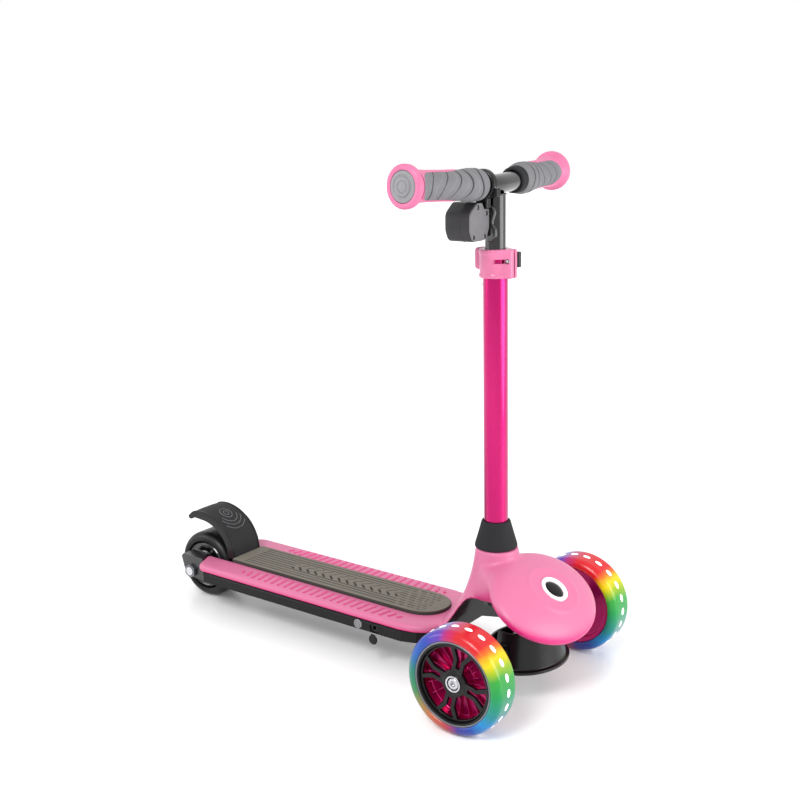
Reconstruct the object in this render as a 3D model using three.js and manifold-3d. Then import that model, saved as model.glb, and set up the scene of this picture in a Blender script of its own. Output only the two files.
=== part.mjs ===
// A child's three-wheeled, battery-assisted kick scooter that steers by leaning.
// Millimetres. +X forward, +Y to the rider's left, +Z up, origin on the ground under the middle.
import * as THREE from "three";
import { mergeVertices } from "three/addons/utils/BufferGeometryUtils.js";
import { LoftGeometry } from "three/addons/geometries/LoftGeometry.js";
import { RoundedBoxGeometry } from "three/addons/geometries/RoundedBoxGeometry.js";
import Module from "manifold-3d";

// ---- driving dimensions ----
const frontAxleX = 230.8;
const rearAxleX = -262.7;
const frontWheelRadius = 60;
const rearWheelRadius = 45;
const trackHalf = 133.8;
const frontTyreHalf = 20;
const rearTyreHalf = 22;

const deckTop = 65;
const deckBottom = 55.5;
const deckHalf = 64.5;
const deckSkin = 3;
const slotHalf = 27.5; // half the slot that the rear wheel and the fender stand in
const slotFront = -199;
const matTop = 70;
const matHalf = 31;
const matRear = -202;
const matFront = 122;
const baseBottom = 42;
const baseHalf = 62.5;

const steererFootX = 193.7; // where the leaning steerer's axis meets the ground
const steererLean = 0.022; // radians, rearward
const outerTubeRadius = 14;
const innerTubeRadius = 11.75;
const outerTubeTop = 500;
const barHeight = 580;
const barEnd = new THREE.Vector3(-14.1, 150.35, 6.4); // from the bar's middle to its left end
const barRadius = 11;
const heightStep = 61; // between two of the three handlebar heights

const shieldCentre = new THREE.Vector3(254.4, 0, 114.5);
const shieldHalf = new THREE.Vector3(62.6, 82.7, 20.5);
const shieldPitch = 0.59; // nose down, radians
const lampForward = 4.2; // from the shield's centre, along the shield
const collarFoot = 163.5;

const kingpinTilt = THREE.MathUtils.degToRad(50); // above the horizontal, rising forward
const hingeX = -205; // fender hinge
const hingeZ = 51.5;
const gap = 0.3; // clearance between pieces that touch on the real scooter
const middle = 0.001; // a mirrored outline's corner beside the centreline
const coarse = 12; // segments round small, middling and large turned pieces
const medium = 16;
const fine = 24;

// ---- solids ----
const wasm = await Module();
wasm.setup();

function solid(geometry) {
  const bare = new THREE.BufferGeometry().copy(geometry);
  bare.deleteAttribute("normal");
  bare.deleteAttribute("uv");
  const merged = mergeVertices(bare, 1e-3);
  const triVerts = new Uint32Array(merged.index.array);
  const vertProperties = merged.attributes.position.array;
  return new wasm.Manifold(new wasm.Mesh({ numProp: 3, vertProperties, triVerts }));
}

function surface(body) {
  const mesh = body.getMesh();
  const geometry = new THREE.BufferGeometry();
  geometry.setAttribute("position", new THREE.BufferAttribute(mesh.vertProperties, 3));
  geometry.setIndex(new THREE.BufferAttribute(mesh.triVerts, 1));
  return geometry;
}

function join(first, ...others) {
  return surface(others.reduce((body, other) => body.add(solid(other)), solid(first)));
}

function cut(first, ...others) {
  return surface(others.reduce((body, other) => body.subtract(solid(other)), solid(first)));
}

function common(first, second) {
  return surface(solid(first).intersect(solid(second)));
}

// ---- basic shapes ----
// A body turned about the Y axis from a closed profile of [radius, y] pairs.
function turned(profile, segments = medium) {
  const points = profile.map(([r, y]) => new THREE.Vector2(r, y));
  if (THREE.ShapeUtils.area(points) < 0) points.reverse();
  if (points.every((point) => point.x > 0)) {
    points.push(points[0].clone());
    return new THREE.LatheGeometry(points, segments);
  }
  while (points[0].x > 0 || points[points.length - 1].x > 0) points.push(points.shift());
  return new THREE.LatheGeometry(points, segments);
}

function upright(geometry) {
  return geometry.rotateX(Math.PI / 2);
}

// A cylinder along Y from y0 to y1, or along Z with rodZ.
function rodY(radius, y0, y1, segments = medium) {
  return new THREE.CylinderGeometry(radius, radius, y1 - y0, segments).translate(0, (y0 + y1) / 2, 0);
}

function rodZ(radius, z0, z1, segments = medium) {
  return upright(new THREE.CylinderGeometry(radius, radius, z1 - z0, segments)).translate(0, 0, (z0 + z1) / 2);
}

function ring(inner, outer, y0, y1, segments = medium) {
  return turned([[inner, y0], [outer, y0], [outer, y1], [inner, y1]], segments);
}

function box(x0, x1, y0, y1, z0, z1) {
  const geometry = new THREE.BoxGeometry(x1 - x0, y1 - y0, z1 - z0);
  return geometry.translate((x0 + x1) / 2, (y0 + y1) / 2, (z0 + z1) / 2);
}

function outline(points) {
  return new THREE.Shape(points.map(([a, b]) => new THREE.Vector2(a, b)));
}

// A plan outline (x, y) raised from z0 to z1.
function slab(shape, z0, z1, curveSegments = 8) {
  const options = { depth: z1 - z0, bevelEnabled: false, curveSegments };
  return new THREE.ExtrudeGeometry(shape, options).translate(0, 0, z0);
}

// A side outline (x, z) spread from y0 to y1.
function plate(shape, y0, y1, curveSegments = 8) {
  const options = { depth: y1 - y0, bevelEnabled: false, curveSegments };
  return new THREE.ExtrudeGeometry(shape, options).rotateX(Math.PI / 2).translate(0, y1, 0);
}

// A front outline (y, z) spread from x0 to x1.
function bulkhead(shape, x0, x1, curveSegments = 8) {
  const options = { depth: x1 - x0, bevelEnabled: false, curveSegments };
  const axes = [new THREE.Vector3(0, 1, 0), new THREE.Vector3(0, 0, 1), new THREE.Vector3(1, 0, 0)];
  const turn = new THREE.Matrix4().makeBasis(...axes);
  return new THREE.ExtrudeGeometry(shape, options).applyMatrix4(turn).translate(x0, 0, 0);
}

function mirrored(points) {
  return [...points, ...points.map(([x, y]) => [x, -y]).reverse()];
}

// A ring profile with elliptical outer shoulders, for the tyres.
function tyreProfile(inner, outer, half, radial, axial, steps) {
  const points = [[inner, half - 3]];
  for (let i = 0; i <= steps; i++) {
    const angle = (i / steps) * (Math.PI / 2);
    points.push([outer - radial * (1 - Math.sin(angle)), half - axial * (1 - Math.cos(angle))]);
  }
  return mirrored(points);
}

// ---- materials and the list of pieces ----
function finish(color, roughness, metalness = 0) {
  return () => new THREE.MeshStandardMaterial({ color, roughness, metalness });
}
const pinkPlastic = finish(0xf37bb1, 0.45);
const blackPlastic = finish(0x232224, 0.5);
const greyRubber = finish(0x6b6664, 0.85);
const gripRubber = finish(0x99999b, 0.8);
const darkRubber = finish(0x2d2e32, 0.8);
const pinkMetal = finish(0xd8107a, 0.25, 0.7);
const blackMetal = finish(0x151515, 0.35, 0.6);
const steel = finish(0xb9babd, 0.3, 1);
const tyreResin = finish(0x05a356, 0.25);
const whitePlastic = finish(0xf4f0f2, 0.4);
const greyPlastic = finish(0x85838a, 0.5);
const circuit = finish(0x1e5a34, 0.6);
const copper = finish(0xb0643a, 0.4, 0.9);

const scooter = new THREE.Group();

function piece(name, geometry, material, parent = scooter) {
  const mesh = new THREE.Mesh(geometry, material());
  mesh.name = name;
  parent.add(mesh);
  return mesh;
}

// ---- deck ----
// Plan outline of the deck moulding, grown or shrunk by inset.
function deckPlan(inset = 0) {
  const side = deckHalf - inset;
  const inner = slotHalf + inset;
  return outline(mirrored([
    [slotFront + inset, middle],
    [slotFront + inset, inner],
    [-250 + inset, inner],
    [-236 + inset, 60.5 - inset],
    [-229 + inset, side],
    [96, side],
    [112, side - 2],
    [126, side - 9],
    [136, side - 18],
    [142 - inset, middle],
  ]));
}

// The trumpet that rises from the deck to the collar: [radius, height] of its wall.
function trumpet(inset, foot, head) {
  const flare = [[64, 66], [60, 70], [52, 80], [45.6, 91], [40, 101], [36.6, 109], [34, 117],
    [30, 131], [27.3, 145], [24.7, collarFoot]];
  const wall = flare.map(([r, z]) => [r - inset, z]);
  const rim = wall.pop()[0];
  const profile = [[0, foot], [wall[0][0], foot], ...wall, [rim, head], [0, head]];
  return upright(turned(profile, fine)).rotateZ(Math.PI).translate(191.5, 0, 0);
}

function shieldBody(inset, floor) {
  const half = shieldHalf.clone().subScalar(inset);
  const ball = new THREE.SphereGeometry(1, 28, 12).scale(half.x, half.y, half.z);
  const room = box(-90, 90, -100, 100, floor, 60);
  const whole = floor === null ? ball : common(ball, room);
  return whole.rotateY(shieldPitch).translate(...shieldCentre);
}

function steererMatrix() {
  return new THREE.Matrix4().makeRotationY(-steererLean).setPosition(steererFootX, 0, 0);
}

// What the arch under the neck takes away, seen from the side.
const archOutline = outline([[120, 30], [136, deckBottom], [147, 68], [158, 88], [167, 101], [177, 107],
  [190, 107.5], [207, 102], [225, 98], [262, 96], [262, 30]]);

function deckShell() {
  const outerSlab = slab(deckPlan(), deckBottom, deckTop);
  const innerSlab = slab(deckPlan(deckSkin), 40, deckTop - deckSkin);
  const neck = cut(trumpet(0, deckBottom + 4, collarFoot), plate(archOutline, -100, 100));
  const outer = join(outerSlab, neck, shieldBody(0, -11));
  const tubeHole = rodZ(outerTubeRadius + 0.6, 120, 190).applyMatrix4(steererMatrix());
  const lampSeat = rodZ(17.6, 9, 40, fine).translate(lampForward, 0, 0);
  lampSeat.rotateY(shieldPitch).translate(...shieldCentre);
  const neckRoom = trumpet(deckSkin, 50, collarFoot - 4);
  const truckRoom = box(194, 262, -36, 36, 60, 118);
  return cut(outer, innerSlab, neckRoom, truckRoom, shieldBody(deckSkin, null), tubeHole, lampSeat);
}

function deckMat() {
  const nose = new THREE.Shape();
  nose.moveTo(matRear, -matHalf);
  nose.lineTo(matFront - 34, -matHalf - 1.5);
  nose.bezierCurveTo(matFront - 10, -matHalf - 1.5, matFront, -18, matFront, 0);
  nose.bezierCurveTo(matFront, 18, matFront - 10, matHalf + 1.5, matFront - 34, matHalf + 1.5);
  nose.lineTo(matRear, matHalf);
  const blank = slab(nose, deckTop + gap, matTop, 6);
  return cut(blank, trumpet(-gap, 50, collarFoot));
}

function chassisBase() {
  const outer = outline(mirrored([[-184, middle], [-184, 47.7], [-233, 47.7], [-231, 57], [-226, baseHalf],
    [98, baseHalf], [116, 56], [126, 44], [128, middle]]));
  const inner = outline(mirrored([[-181, middle], [-181, 50.7], [-228, 50.7], [-224, 59.5], [96, 59.5],
    [113, 53], [122, 42], [125, middle]]));
  const buttonHole = rodY(6.3, -70, -49).translate(34, 0, 48.5);
  const socketHole = rodY(6.3, -70, -49).translate(58, 0, 48.5);
  const armNotch = box(105, 140, -19, 19, baseBottom + 2.5, 60);
  return cut(slab(outer, baseBottom, deckBottom - gap), slab(inner, baseBottom + 2.5, 60), buttonHole,
    socketHole, armNotch);
}

function rearFork() {
  const arm = outline([[-186, 42.3], [-186, 61.6], [-214, 61.6], [-226, 66], [-278, 66], [-281, 62],
    [-276, 46], [-266, 36.5], [-250, 35], [-228, 41]]);
  const body = join(plate(arm, 27.8, 47.3), plate(arm, -47.3, -27.8), box(-198, -184.4, -40, 40, 44, 60));
  const wing = slab(deckPlan(-gap), deckBottom - gap, 80);
  const wingRoom = slab(deckPlan(deckSkin + gap), deckBottom - 1, deckTop - deckSkin - gap);
  const wingOnly = cut(wing, wingRoom);
  const axleHole = rodY(6.3, -60, 60).translate(rearAxleX, 0, rearWheelRadius);
  const pinHole = rodY(2.8, -36, 36, coarse).translate(hingeX, 0, hingeZ);
  return cut(body, wingOnly, axleHole, pinHole);
}

function addDeck() {
  piece("deck_shell", deckShell(), pinkPlastic);
  piece("deck_mat", deckMat(), greyRubber);
  piece("chassis_base", chassisBase(), blackPlastic);
  piece("battery_cover", new RoundedBoxGeometry(220, 84, 3, 1, 1).translate(-30, 0, 40.2), blackPlastic);
  piece("battery_pack", new RoundedBoxGeometry(190, 96, 14, 1, 2).translate(-60, 0, 52.2), greyPlastic);
  piece("controller_board", box(46, 94, -30, 30, 46, 48), circuit);
  piece("charge_socket", ring(2.5, 5.8, -61, -50, coarse).translate(58, 0, 48.5), blackPlastic);
  piece("rear_fork", rearFork(), blackMetal);
}

function addSideControls() {
  const button = turned([[0, -57], [5.8, -57], [5.8, -63], [4.8, -64], [0, -64]], medium);
  piece("power_button", button.translate(34, 0, 48.5), greyPlastic);
  const disc = rodY(6, -65.6, -63.6, medium).translate(0, 0, 34.2);
  const strap = box(-2.5, 2.5, -65.2, -64, 36, 41.4);
  piece("charge_cap", join(disc, strap).translate(58, 0, 0), darkRubber);
}

// ---- steering head: arm, sleeve for the steerer and boss for the kingpin ----
const kingpinFrame = new THREE.Matrix4()
  .makeRotationY(Math.PI / 2 - kingpinTilt)
  .setPosition(frontAxleX, 0, frontWheelRadius);

function onKingpin(geometry) {
  return geometry.applyMatrix4(kingpinFrame);
}

function headCasting() {
  const arm = outline([[108, 45], [130, 45], [158, 60], [183, 80], [205, 84], [236, 76], [262, 90],
    [252, 101], [215, 106], [172, 101], [152, 84], [131, 57], [108, 54.5]]);
  const sleeve = rodZ(19, 96, 150).applyMatrix4(steererMatrix());
  const bore = rodZ(outerTubeRadius + gap, 108, 160).applyMatrix4(steererMatrix());
  const boss = onKingpin(rodZ(12, 22, 42));
  const around = onKingpin(rodZ(16, -30, 22));
  const above = onKingpin(rodZ(16, 42, 80));
  const pinHole = onKingpin(rodZ(5.3, 0, 60, coarse));
  const body = cut(plate(arm, -17, 17), around, above);
  return cut(join(body, sleeve, boss), bore, pinHole);
}

function addSteeringHead() {
  piece("head_casting", headCasting(), blackMetal);
  const pin = join(rodZ(5, -19.8, 48, coarse), rodZ(7, -20, -14.4, 6));
  piece("kingpin", onKingpin(pin), steel);
  piece("kingpin_nut", onKingpin(cut(rodZ(8, 42.3, 48, 6), rodZ(5.4, 40, 50, coarse))), steel);
  const cone = turned([[outerTubeRadius + 0.5, 164.6], [24.7, 164.6], [24.4, 167], [16.9, 194],
    [outerTubeRadius + 0.5, 195]], fine);
  piece("neck_collar", upright(cone).applyMatrix4(steererMatrix()), darkRubber);
}

function addLamp() {
  const lamp = new THREE.Group();
  lamp.position.copy(shieldCentre);
  lamp.rotation.y = shieldPitch;
  scooter.add(lamp);
  const bezel = turned([[12, 20.2], [16.2, 21.3], [17.2, 20], [17.2, 12], [12, 12]], fine);
  piece("headlight_ring", upright(bezel).translate(lampForward, 0, 0), whitePlastic, lamp);
  const lens = turned([[0, 19.6], [9, 19.2], [11.6, 18.2], [11.6, 14.1], [0, 14.1]], medium);
  piece("headlight_lens", upright(lens).translate(lampForward, 0, 0), blackPlastic, lamp);
}

// ---- front truck: it rolls and steers about the kingpin when the deck leans ----
function truckHousing() {
  const wall = [[0, 36], [47, 36], [49, 37.5], [49, 40.5], [45, 41.5], [43, 60], [42, 84], [39.5, 84],
    [40.5, 60], [40.5, 38.8], [0, 38.8]];
  const bowl = upright(turned(wall, fine)).scale(0.96, 1.18, 1).translate(234, 0, 0);
  const rearNotch = box(150, 222, -27, 27, 62, 100);
  const beamHole = box(frontAxleX - 9, frontAxleX + 9, -80, 80, 51, 69);
  return cut(bowl, rearNotch, beamHole);
}

function axleBeam() {
  const half = trackHalf - 22;
  const bar = new RoundedBoxGeometry(16, 2 * half - 24, 15, 1, 3);
  const ends = rodY(7, -half, half, coarse);
  const beam = join(bar, ends).translate(frontAxleX, 0, frontWheelRadius);
  const boss = onKingpin(rodZ(13, -14, 14));
  const pinHole = onKingpin(rodZ(5.3, -20, 20, coarse));
  const boltHoles = [-1, 1].map((side) => rodY(4.3, side * (half - 9) - 11, side * (half - 9) + 11, coarse)
    .translate(frontAxleX, 0, frontWheelRadius));
  return cut(join(beam, boss), pinHole, ...boltHoles);
}

function addTruck() {
  piece("truck_housing", truckHousing(), blackPlastic);
  piece("axle_beam", axleBeam(), blackMetal);
  const bushing = turned([[5.4, 14.3], [11, 14.3], [12.2, 18], [11, 21.7], [5.4, 21.7]], medium);
  piece("centering_bushing", onKingpin(upright(bushing)), darkRubber);
}

// ---- front wheels: local +Y points outward ----
const firstSpoke = THREE.MathUtils.degToRad(76.5);

function spokeCover() {
  const rimRing = 41;
  const hubRing = 15.5;
  const shape = new THREE.Shape();
  shape.absarc(0, 0, 43.1, 0, 2 * Math.PI, false);
  const eye = new THREE.Path();
  eye.absarc(0, 0, 7.4, 0, 2 * Math.PI, true);
  shape.holes.push(eye);
  for (let spoke = 0; spoke < 4; spoke++) {
    const turn = firstSpoke + (spoke * Math.PI) / 2;
    const at = (u, v) => new THREE.Vector2(u, v).rotateAround(new THREE.Vector2(), turn);
    const arc = (radius, from, to) => [0, 0.33, 0.67, 1].map((t) => {
      const angle = from + (to - from) * t;
      return at(radius * Math.cos(angle), radius * Math.sin(angle));
    });
    const rimStart = Math.asin(14.2 / rimRing);
    const hubStart = Math.asin(7 / hubRing);
    const window = [at(27, 7), ...arc(rimRing, rimStart, Math.PI / 2 - rimStart), at(7, 27),
      ...arc(hubRing, Math.PI / 2 - hubStart, hubStart)];
    const forkEnd = Math.asin(9 / rimRing);
    const channel = [at(18, -2.6), at(29, -2.6), ...arc(rimRing, -forkEnd, forkEnd), at(29, 2.6), at(18, 2.6)];
    shape.holes.push(new THREE.Path(window), new THREE.Path(channel));
  }
  return plate(shape, 10.8, 15, 10);
}

function rimCore() {
  return turned([[11.3, -14], [15, -14], [15, -6], [43, -6], [43, -17], [47.8, -17], [47.8, 17], [43.6, 17],
    [43.6, -2], [15, -2], [15, 10], [11.3, 10], [11.3, 2.9], [6, 2.9], [6, -6.9], [11.3, -6.9]], fine);
}

function wheelBolt() {
  const socket = rodY(2.9, 13.5, 20, 6);
  return cut(join(rodY(4, -38, 12, coarse), rodY(6.4, 11.7, 16.4)), socket);
}

function addFrontWheel(side, name) {
  const wheel = new THREE.Group();
  wheel.position.set(frontAxleX, side * trackHalf, frontWheelRadius);
  wheel.scale.y = side;
  scooter.add(wheel);
  const tyre = turned(tyreProfile(48.1, frontWheelRadius, frontTyreHalf, 9, 9, 4), fine);
  piece("front_tyre_" + name, tyre, tyreResin, wheel);
  piece("rim_" + name, rimCore(), pinkMetal, wheel);
  piece("spoke_cover_" + name, spokeCover(), blackPlastic, wheel);
  piece("outer_bearing_" + name, ring(4.3, 11, 3.2, 9.8), steel, wheel);
  piece("inner_bearing_" + name, ring(4.3, 11, -13.8, -7.2), steel, wheel);
  piece("wheel_washer_" + name, ring(4.3, 7, 10.1, 11.4), steel, wheel);
  piece("wheel_bolt_" + name, wheelBolt(), steel, wheel);
}

// ---- rear wheel with its hub motor ----
function addRearWheel() {
  const wheel = new THREE.Group();
  wheel.position.set(rearAxleX, 0, rearWheelRadius);
  scooter.add(wheel);
  const tyre = turned(tyreProfile(33, rearWheelRadius, rearTyreHalf, 8, 10, 4), fine);
  piece("rear_tyre", tyre, darkRubber, wheel);
  const shell = [[13.1, -21], [30, -21], [32.7, -18.5], [32.7, 18.5], [30, 21], [13.1, 21], [13.1, 15],
    [29, 15], [29, -15], [13.1, -15]];
  piece("motor_hub_shell", turned(shell, fine), blackMetal, wheel);
  piece("motor_stator", ring(6.3, 26, -12, 12), copper, wheel);
  piece("rear_bearing_left", ring(6.3, 12.8, 15.2, 20.8), steel, wheel);
  piece("rear_bearing_right", ring(6.3, 12.8, -20.8, -15.2), steel, wheel);
  piece("rear_axle", rodY(6, -52, 52, coarse), steel, wheel);
  for (const [side, name] of [[1, "left"], [-1, "right"]]) {
    const nutY = side * 49.6;
    const nut = cut(rodY(9.5, nutY - 1.9, nutY + 1.9, 6), rodY(6.5, nutY - 4, nutY + 4, coarse));
    piece("axle_nut_" + name, nut, steel, wheel);
  }
}

// ---- fender, which is pressed down by the heel onto the tyre ----
// Points along a curve, set off to one side; overrun carries both ends on along the curve.
function offsetCurve(curve, steps, distance, overrun = 0) {
  const points = [];
  for (let i = 0; i <= steps; i++) {
    const at = curve.getPoint(i / steps);
    const along = curve.getTangent(i / steps);
    const carry = i === 0 ? -overrun : i === steps ? overrun : 0;
    points.push([at.x + along.y * distance + along.x * carry, at.y - along.x * distance + along.y * carry]);
  }
  return points;
}

function fenderBody() {
  const crown = new THREE.SplineCurve([[-203.5, 68], [-207.5, 86], [-219, 104], [-238, 117], [-258, 122.5],
    [-276, 121], [-286, 114]].map(([x, z]) => new THREE.Vector2(x, z)));
  const steps = 12;
  const top = offsetCurve(crown, steps, 0);
  const skin = offsetCurve(crown, steps, -4, 2);
  const skirt = offsetCurve(crown, steps, -11);
  const whole = plate(outline([...top, ...skirt.reverse()]), -25.5, 25.5);
  const deep = offsetCurve(crown, steps, -16, 2);
  const hollow = plate(outline([...skin, ...deep.reverse()]), -22, 22);
  const knuckle = rodY(5.6, -25.3, 25.3).translate(hingeX, 0, hingeZ);
  const web = box(-209.5, -203, -25, 25, 50, 74);
  const pinHole = rodY(2.9, -30, 30, coarse).translate(hingeX, 0, hingeZ);
  const springRoom = rodY(7.2, -9.5, 9.5).translate(hingeX, 0, hingeZ);
  return cut(join(cut(whole, hollow), knuckle, web), pinHole, springRoom);
}

function addFender() {
  piece("fender", fenderBody(), blackPlastic);
  piece("fender_hinge_pin", rodY(2.5, -34, 34, coarse).translate(hingeX, 0, hingeZ), steel);
  piece("fender_spring", ring(3, 5.2, -9, 9, coarse).translate(hingeX, 0, hingeZ), steel);
}

// ---- steerer tubes and height clamp, in the leaning frame of the steerer ----
const steerer = new THREE.Group();
steerer.position.set(steererFootX, 0, 0);
steerer.rotation.y = -steererLean;
scooter.add(steerer);

const detentHeight = 468.7;
const clampBoltX = 20.3;

function outerTube() {
  const tube = upright(ring(12.5, outerTubeRadius, 108.5, outerTubeTop, fine));
  const slit = box(0, 30, -1, 1, 470, 520);
  const buttonHole = rodZ(3.3, -30, 0, coarse).rotateY(Math.PI / 2).translate(0, 0, detentHeight);
  return cut(tube, slit, buttonHole);
}

function innerTube() {
  const tube = upright(ring(10.2, innerTubeRadius, 330, barHeight - barRadius - 0.6, fine));
  const holes = [0, 1, 2].map((step) => rodZ(3.6, -30, 0, coarse)
    .rotateY(Math.PI / 2).translate(0, 0, detentHeight - step * heightStep));
  return cut(tube, ...holes);
}

function clampBody() {
  const body = join(rodZ(17.5, 478, 510), box(-24, -8, -8, 8, 481, 507), box(8, 25, -7, 7, 484, 507));
  const bore = rodZ(outerTubeRadius + gap, 470, outerTubeTop + 0.6);
  const throat = rodZ(innerTubeRadius + 0.5, 470, 520);
  const split = box(5, 40, -1.3, 1.3, 470, 520);
  const boltHole = rodY(2.9, -20, 20, coarse).translate(clampBoltX, 0, 497);
  const window = box(4, 20, -30, -12, 488, 493);
  return cut(body, bore, throat, split, boltHole, window);
}

function clampLever() {
  const arc = new THREE.Shape();
  const from = THREE.MathUtils.degToRad(38);
  const to = THREE.MathUtils.degToRad(142);
  arc.absarc(0, 0, 23, from, to, false);
  arc.absarc(0, 0, 19.4, to, from, true);
  const hub = rodZ(4.6, 489, 506).translate(clampBoltX, 12.6, 0);
  const body = join(hub, slab(arc, 490.5, 504.5, 10));
  return cut(body, box(13, 24.5, 6, 8.1, 480, 510));
}

function addSteerer() {
  piece("steerer_outer_tube", outerTube(), pinkMetal, steerer);
  piece("steerer_inner_tube", innerTube(), blackMetal, steerer);
  piece("height_clamp", clampBody(), pinkPlastic, steerer);
  const bolt = join(rodY(2.6, -12, 7.5, coarse), rodY(4.1, -12, -7.4, coarse));
  piece("clamp_bolt", bolt.translate(clampBoltX, 0, 497), steel, steerer);
  piece("clamp_lever", clampLever(), blackPlastic, steerer);
  const plunger = upright(turned([[0, 12.1], [2.9, 12.1], [2.9, 15.6], [1.8, 16.8], [0, 17]], coarse));
  plunger.rotateY(-Math.PI / 2).translate(0, 0, detentHeight);
  piece("height_button", plunger, steel, steerer);
}

// ---- handlebar ----
function barSections(radius, reach) {
  const left = barEnd.clone().multiplyScalar(reach);
  const stations = [1, 0.16, 0.08, 0.03, -0.03, -0.08, -0.16, -1].map((part) => {
    const size = Math.abs(part);
    const at = new THREE.Vector3(left.x * size, left.y * part, left.z * size);
    const ease = size < 0.16 ? (0.16 - size) * 0.25 : 0;
    return at.add(new THREE.Vector3(left.x * ease, 0, left.z * ease));
  });
  return stations.map((at) => Array.from({ length: medium }, (_, i) => {
    const angle = (i / medium) * 2 * Math.PI;
    return new THREE.Vector3(at.x + radius * Math.sin(angle), at.y, at.z + radius * Math.cos(angle));
  }));
}

function crossbar() {
  const ends = { capStart: true, capEnd: true };
  const outside = new LoftGeometry(barSections(barRadius, 0.955).reverse(), ends);
  const inside = new LoftGeometry(barSections(barRadius - 1.6, 1.01).reverse(), ends);
  return cut(outside, inside);
}

function gripBody(inner) {
  const length = barEnd.length();
  return turned([[0, length - 4.6], [11.9, length - 4.6], [11.9, inner], [15.6, inner], [17.4, inner + 5],
    [17.6, inner + 16], [16.2, inner + 34], [15.6, 96], [16, 130], [17, 141], [20.5, 145.5], [22.9, 149],
    [22.9, length], [21.5, length + 2.2], [0, length + 2.6]], medium);
}

function addHandlebar() {
  const bar = new THREE.Group();
  bar.position.set(0, 0, barHeight);
  steerer.add(bar);
  piece("crossbar", crossbar(), blackMetal, bar);
  for (const [side, name, inner] of [[1, "left", 54], [-1, "right", 29]]) {
    const leg = new THREE.Group();
    const leftward = new THREE.Vector3(barEnd.x * side, barEnd.y, barEnd.z * side).normalize();
    leg.quaternion.setFromUnitVectors(new THREE.Vector3(0, 1, 0), leftward);
    leg.scale.y = side;
    bar.add(leg);
    piece("grip_" + name, gripBody(inner), gripRubber, leg);
  }
}

// ---- thumb throttle with its display pod, under the right grip ----
const podCentre = [-37, 542]; // y and height
const podFront = 3.5; // x from the steerer's axis
const podRear = -29.5;

function podOutline(grow) {
  const [y, z] = podCentre;
  return outline([[y - 13, z - 21], [y + 12, z - 21], [y + 19.6, z - 9], [y + 19.6, z + 13], [y + 9, z + 14],
    [y + 5, z + 21], [y - 4, z + 21], [y - 19.6, z + 9], [y - 19.6, z - 8]]
    .map(([a, b]) => [y + (a - y) * grow, z + (b - z) * grow]));
}

function throttleClamp() {
  const hold = ring(barRadius + 1.7, 17, -27, -17.4, medium).translate(-2, 0, barHeight + 0.9);
  const foot = box(-8, 4, -26.8, -17.4, 557, 568);
  const lug = box(11, 18, -26.5, -18, 569, 577);
  const split = box(8, 30, -30, -10, 572.4, 573.6);
  const screwHole = rodZ(2, 560, 590, coarse).translate(14.8, -22.2, 0);
  return cut(join(hold, foot, lug), split, screwHole, bulkhead(podOutline(1.02), -40, 8));
}

function throttleLever() {
  const blade = new THREE.Shape();
  blade.moveTo(-18, 548);
  blade.bezierCurveTo(-8, 562, 9, 564, 10, 552);
  blade.bezierCurveTo(10.5, 546, 6, 541, 6.5, 538);
  blade.bezierCurveTo(12, 534, 11, 520, 2, 519);
  blade.bezierCurveTo(-7, 519, -8, 533, -2, 539);
  blade.bezierCurveTo(2, 545, 0, 550, -8, 546);
  blade.lineTo(-14, 540);
  return plate(blade, -16.8, -12.6, 5);
}

function addThrottle() {
  const cavity = bulkhead(podOutline(0.86), podRear + 2.5, podFront + 1);
  const lensHole = rodZ(14, -40, 0).rotateY(Math.PI / 2).translate(0, podCentre[0] - 1, podCentre[1] - 1);
  const pod = cut(bulkhead(podOutline(1), podRear, podFront - 2.3), cavity, lensHole);
  piece("throttle_clamp", throttleClamp(), blackPlastic, steerer);
  piece("throttle_housing", pod, greyPlastic, steerer);
  piece("throttle_cover", bulkhead(podOutline(0.97), podFront - 2, podFront), greyPlastic, steerer);
  const lens = rodZ(13.6, podRear - 1.2, podRear + 2.2).rotateY(Math.PI / 2);
  piece("display_lens", lens.translate(0, podCentre[0] - 1, podCentre[1] - 1), blackPlastic, steerer);
  piece("throttle_lever", throttleLever(), blackPlastic, steerer);
}

addDeck();
addSideControls();
addSteeringHead();
addLamp();
addTruck();
addFrontWheel(1, "left");
addFrontWheel(-1, "right");
addRearWheel();
addFender();
addSteerer();
addHandlebar();
addThrottle();

export default scooter;
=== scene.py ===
"""Children's lean-to-steer kick scooter: the visible pieces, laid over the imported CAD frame."""
import math

import bmesh
import bpy
from bpy.props import FloatProperty, FloatVectorProperty, IntProperty, PointerProperty
from mathutils import Matrix, Vector


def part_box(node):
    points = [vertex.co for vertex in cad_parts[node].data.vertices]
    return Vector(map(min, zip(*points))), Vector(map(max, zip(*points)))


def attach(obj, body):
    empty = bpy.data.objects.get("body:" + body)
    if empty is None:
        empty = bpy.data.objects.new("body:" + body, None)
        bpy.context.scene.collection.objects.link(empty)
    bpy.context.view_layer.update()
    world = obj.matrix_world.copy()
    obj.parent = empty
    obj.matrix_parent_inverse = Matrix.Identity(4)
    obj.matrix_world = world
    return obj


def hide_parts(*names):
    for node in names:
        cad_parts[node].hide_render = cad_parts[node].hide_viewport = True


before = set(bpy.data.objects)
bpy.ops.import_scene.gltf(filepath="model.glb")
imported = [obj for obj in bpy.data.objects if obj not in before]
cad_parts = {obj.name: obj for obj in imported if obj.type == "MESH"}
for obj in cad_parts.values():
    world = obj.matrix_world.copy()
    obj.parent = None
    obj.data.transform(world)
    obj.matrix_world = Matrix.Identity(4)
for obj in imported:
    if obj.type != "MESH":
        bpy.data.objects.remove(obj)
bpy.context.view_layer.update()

bl_info = {
    "name": "Kick Scooter",
    "version": (1, 0, 0),
    "blender": (4, 5, 0),
    "location": "View3D > Sidebar > Scooter",
    "description": "Builds the visible pieces of a child's three-wheeled kick scooter",
    "category": "Object",
}

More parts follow.
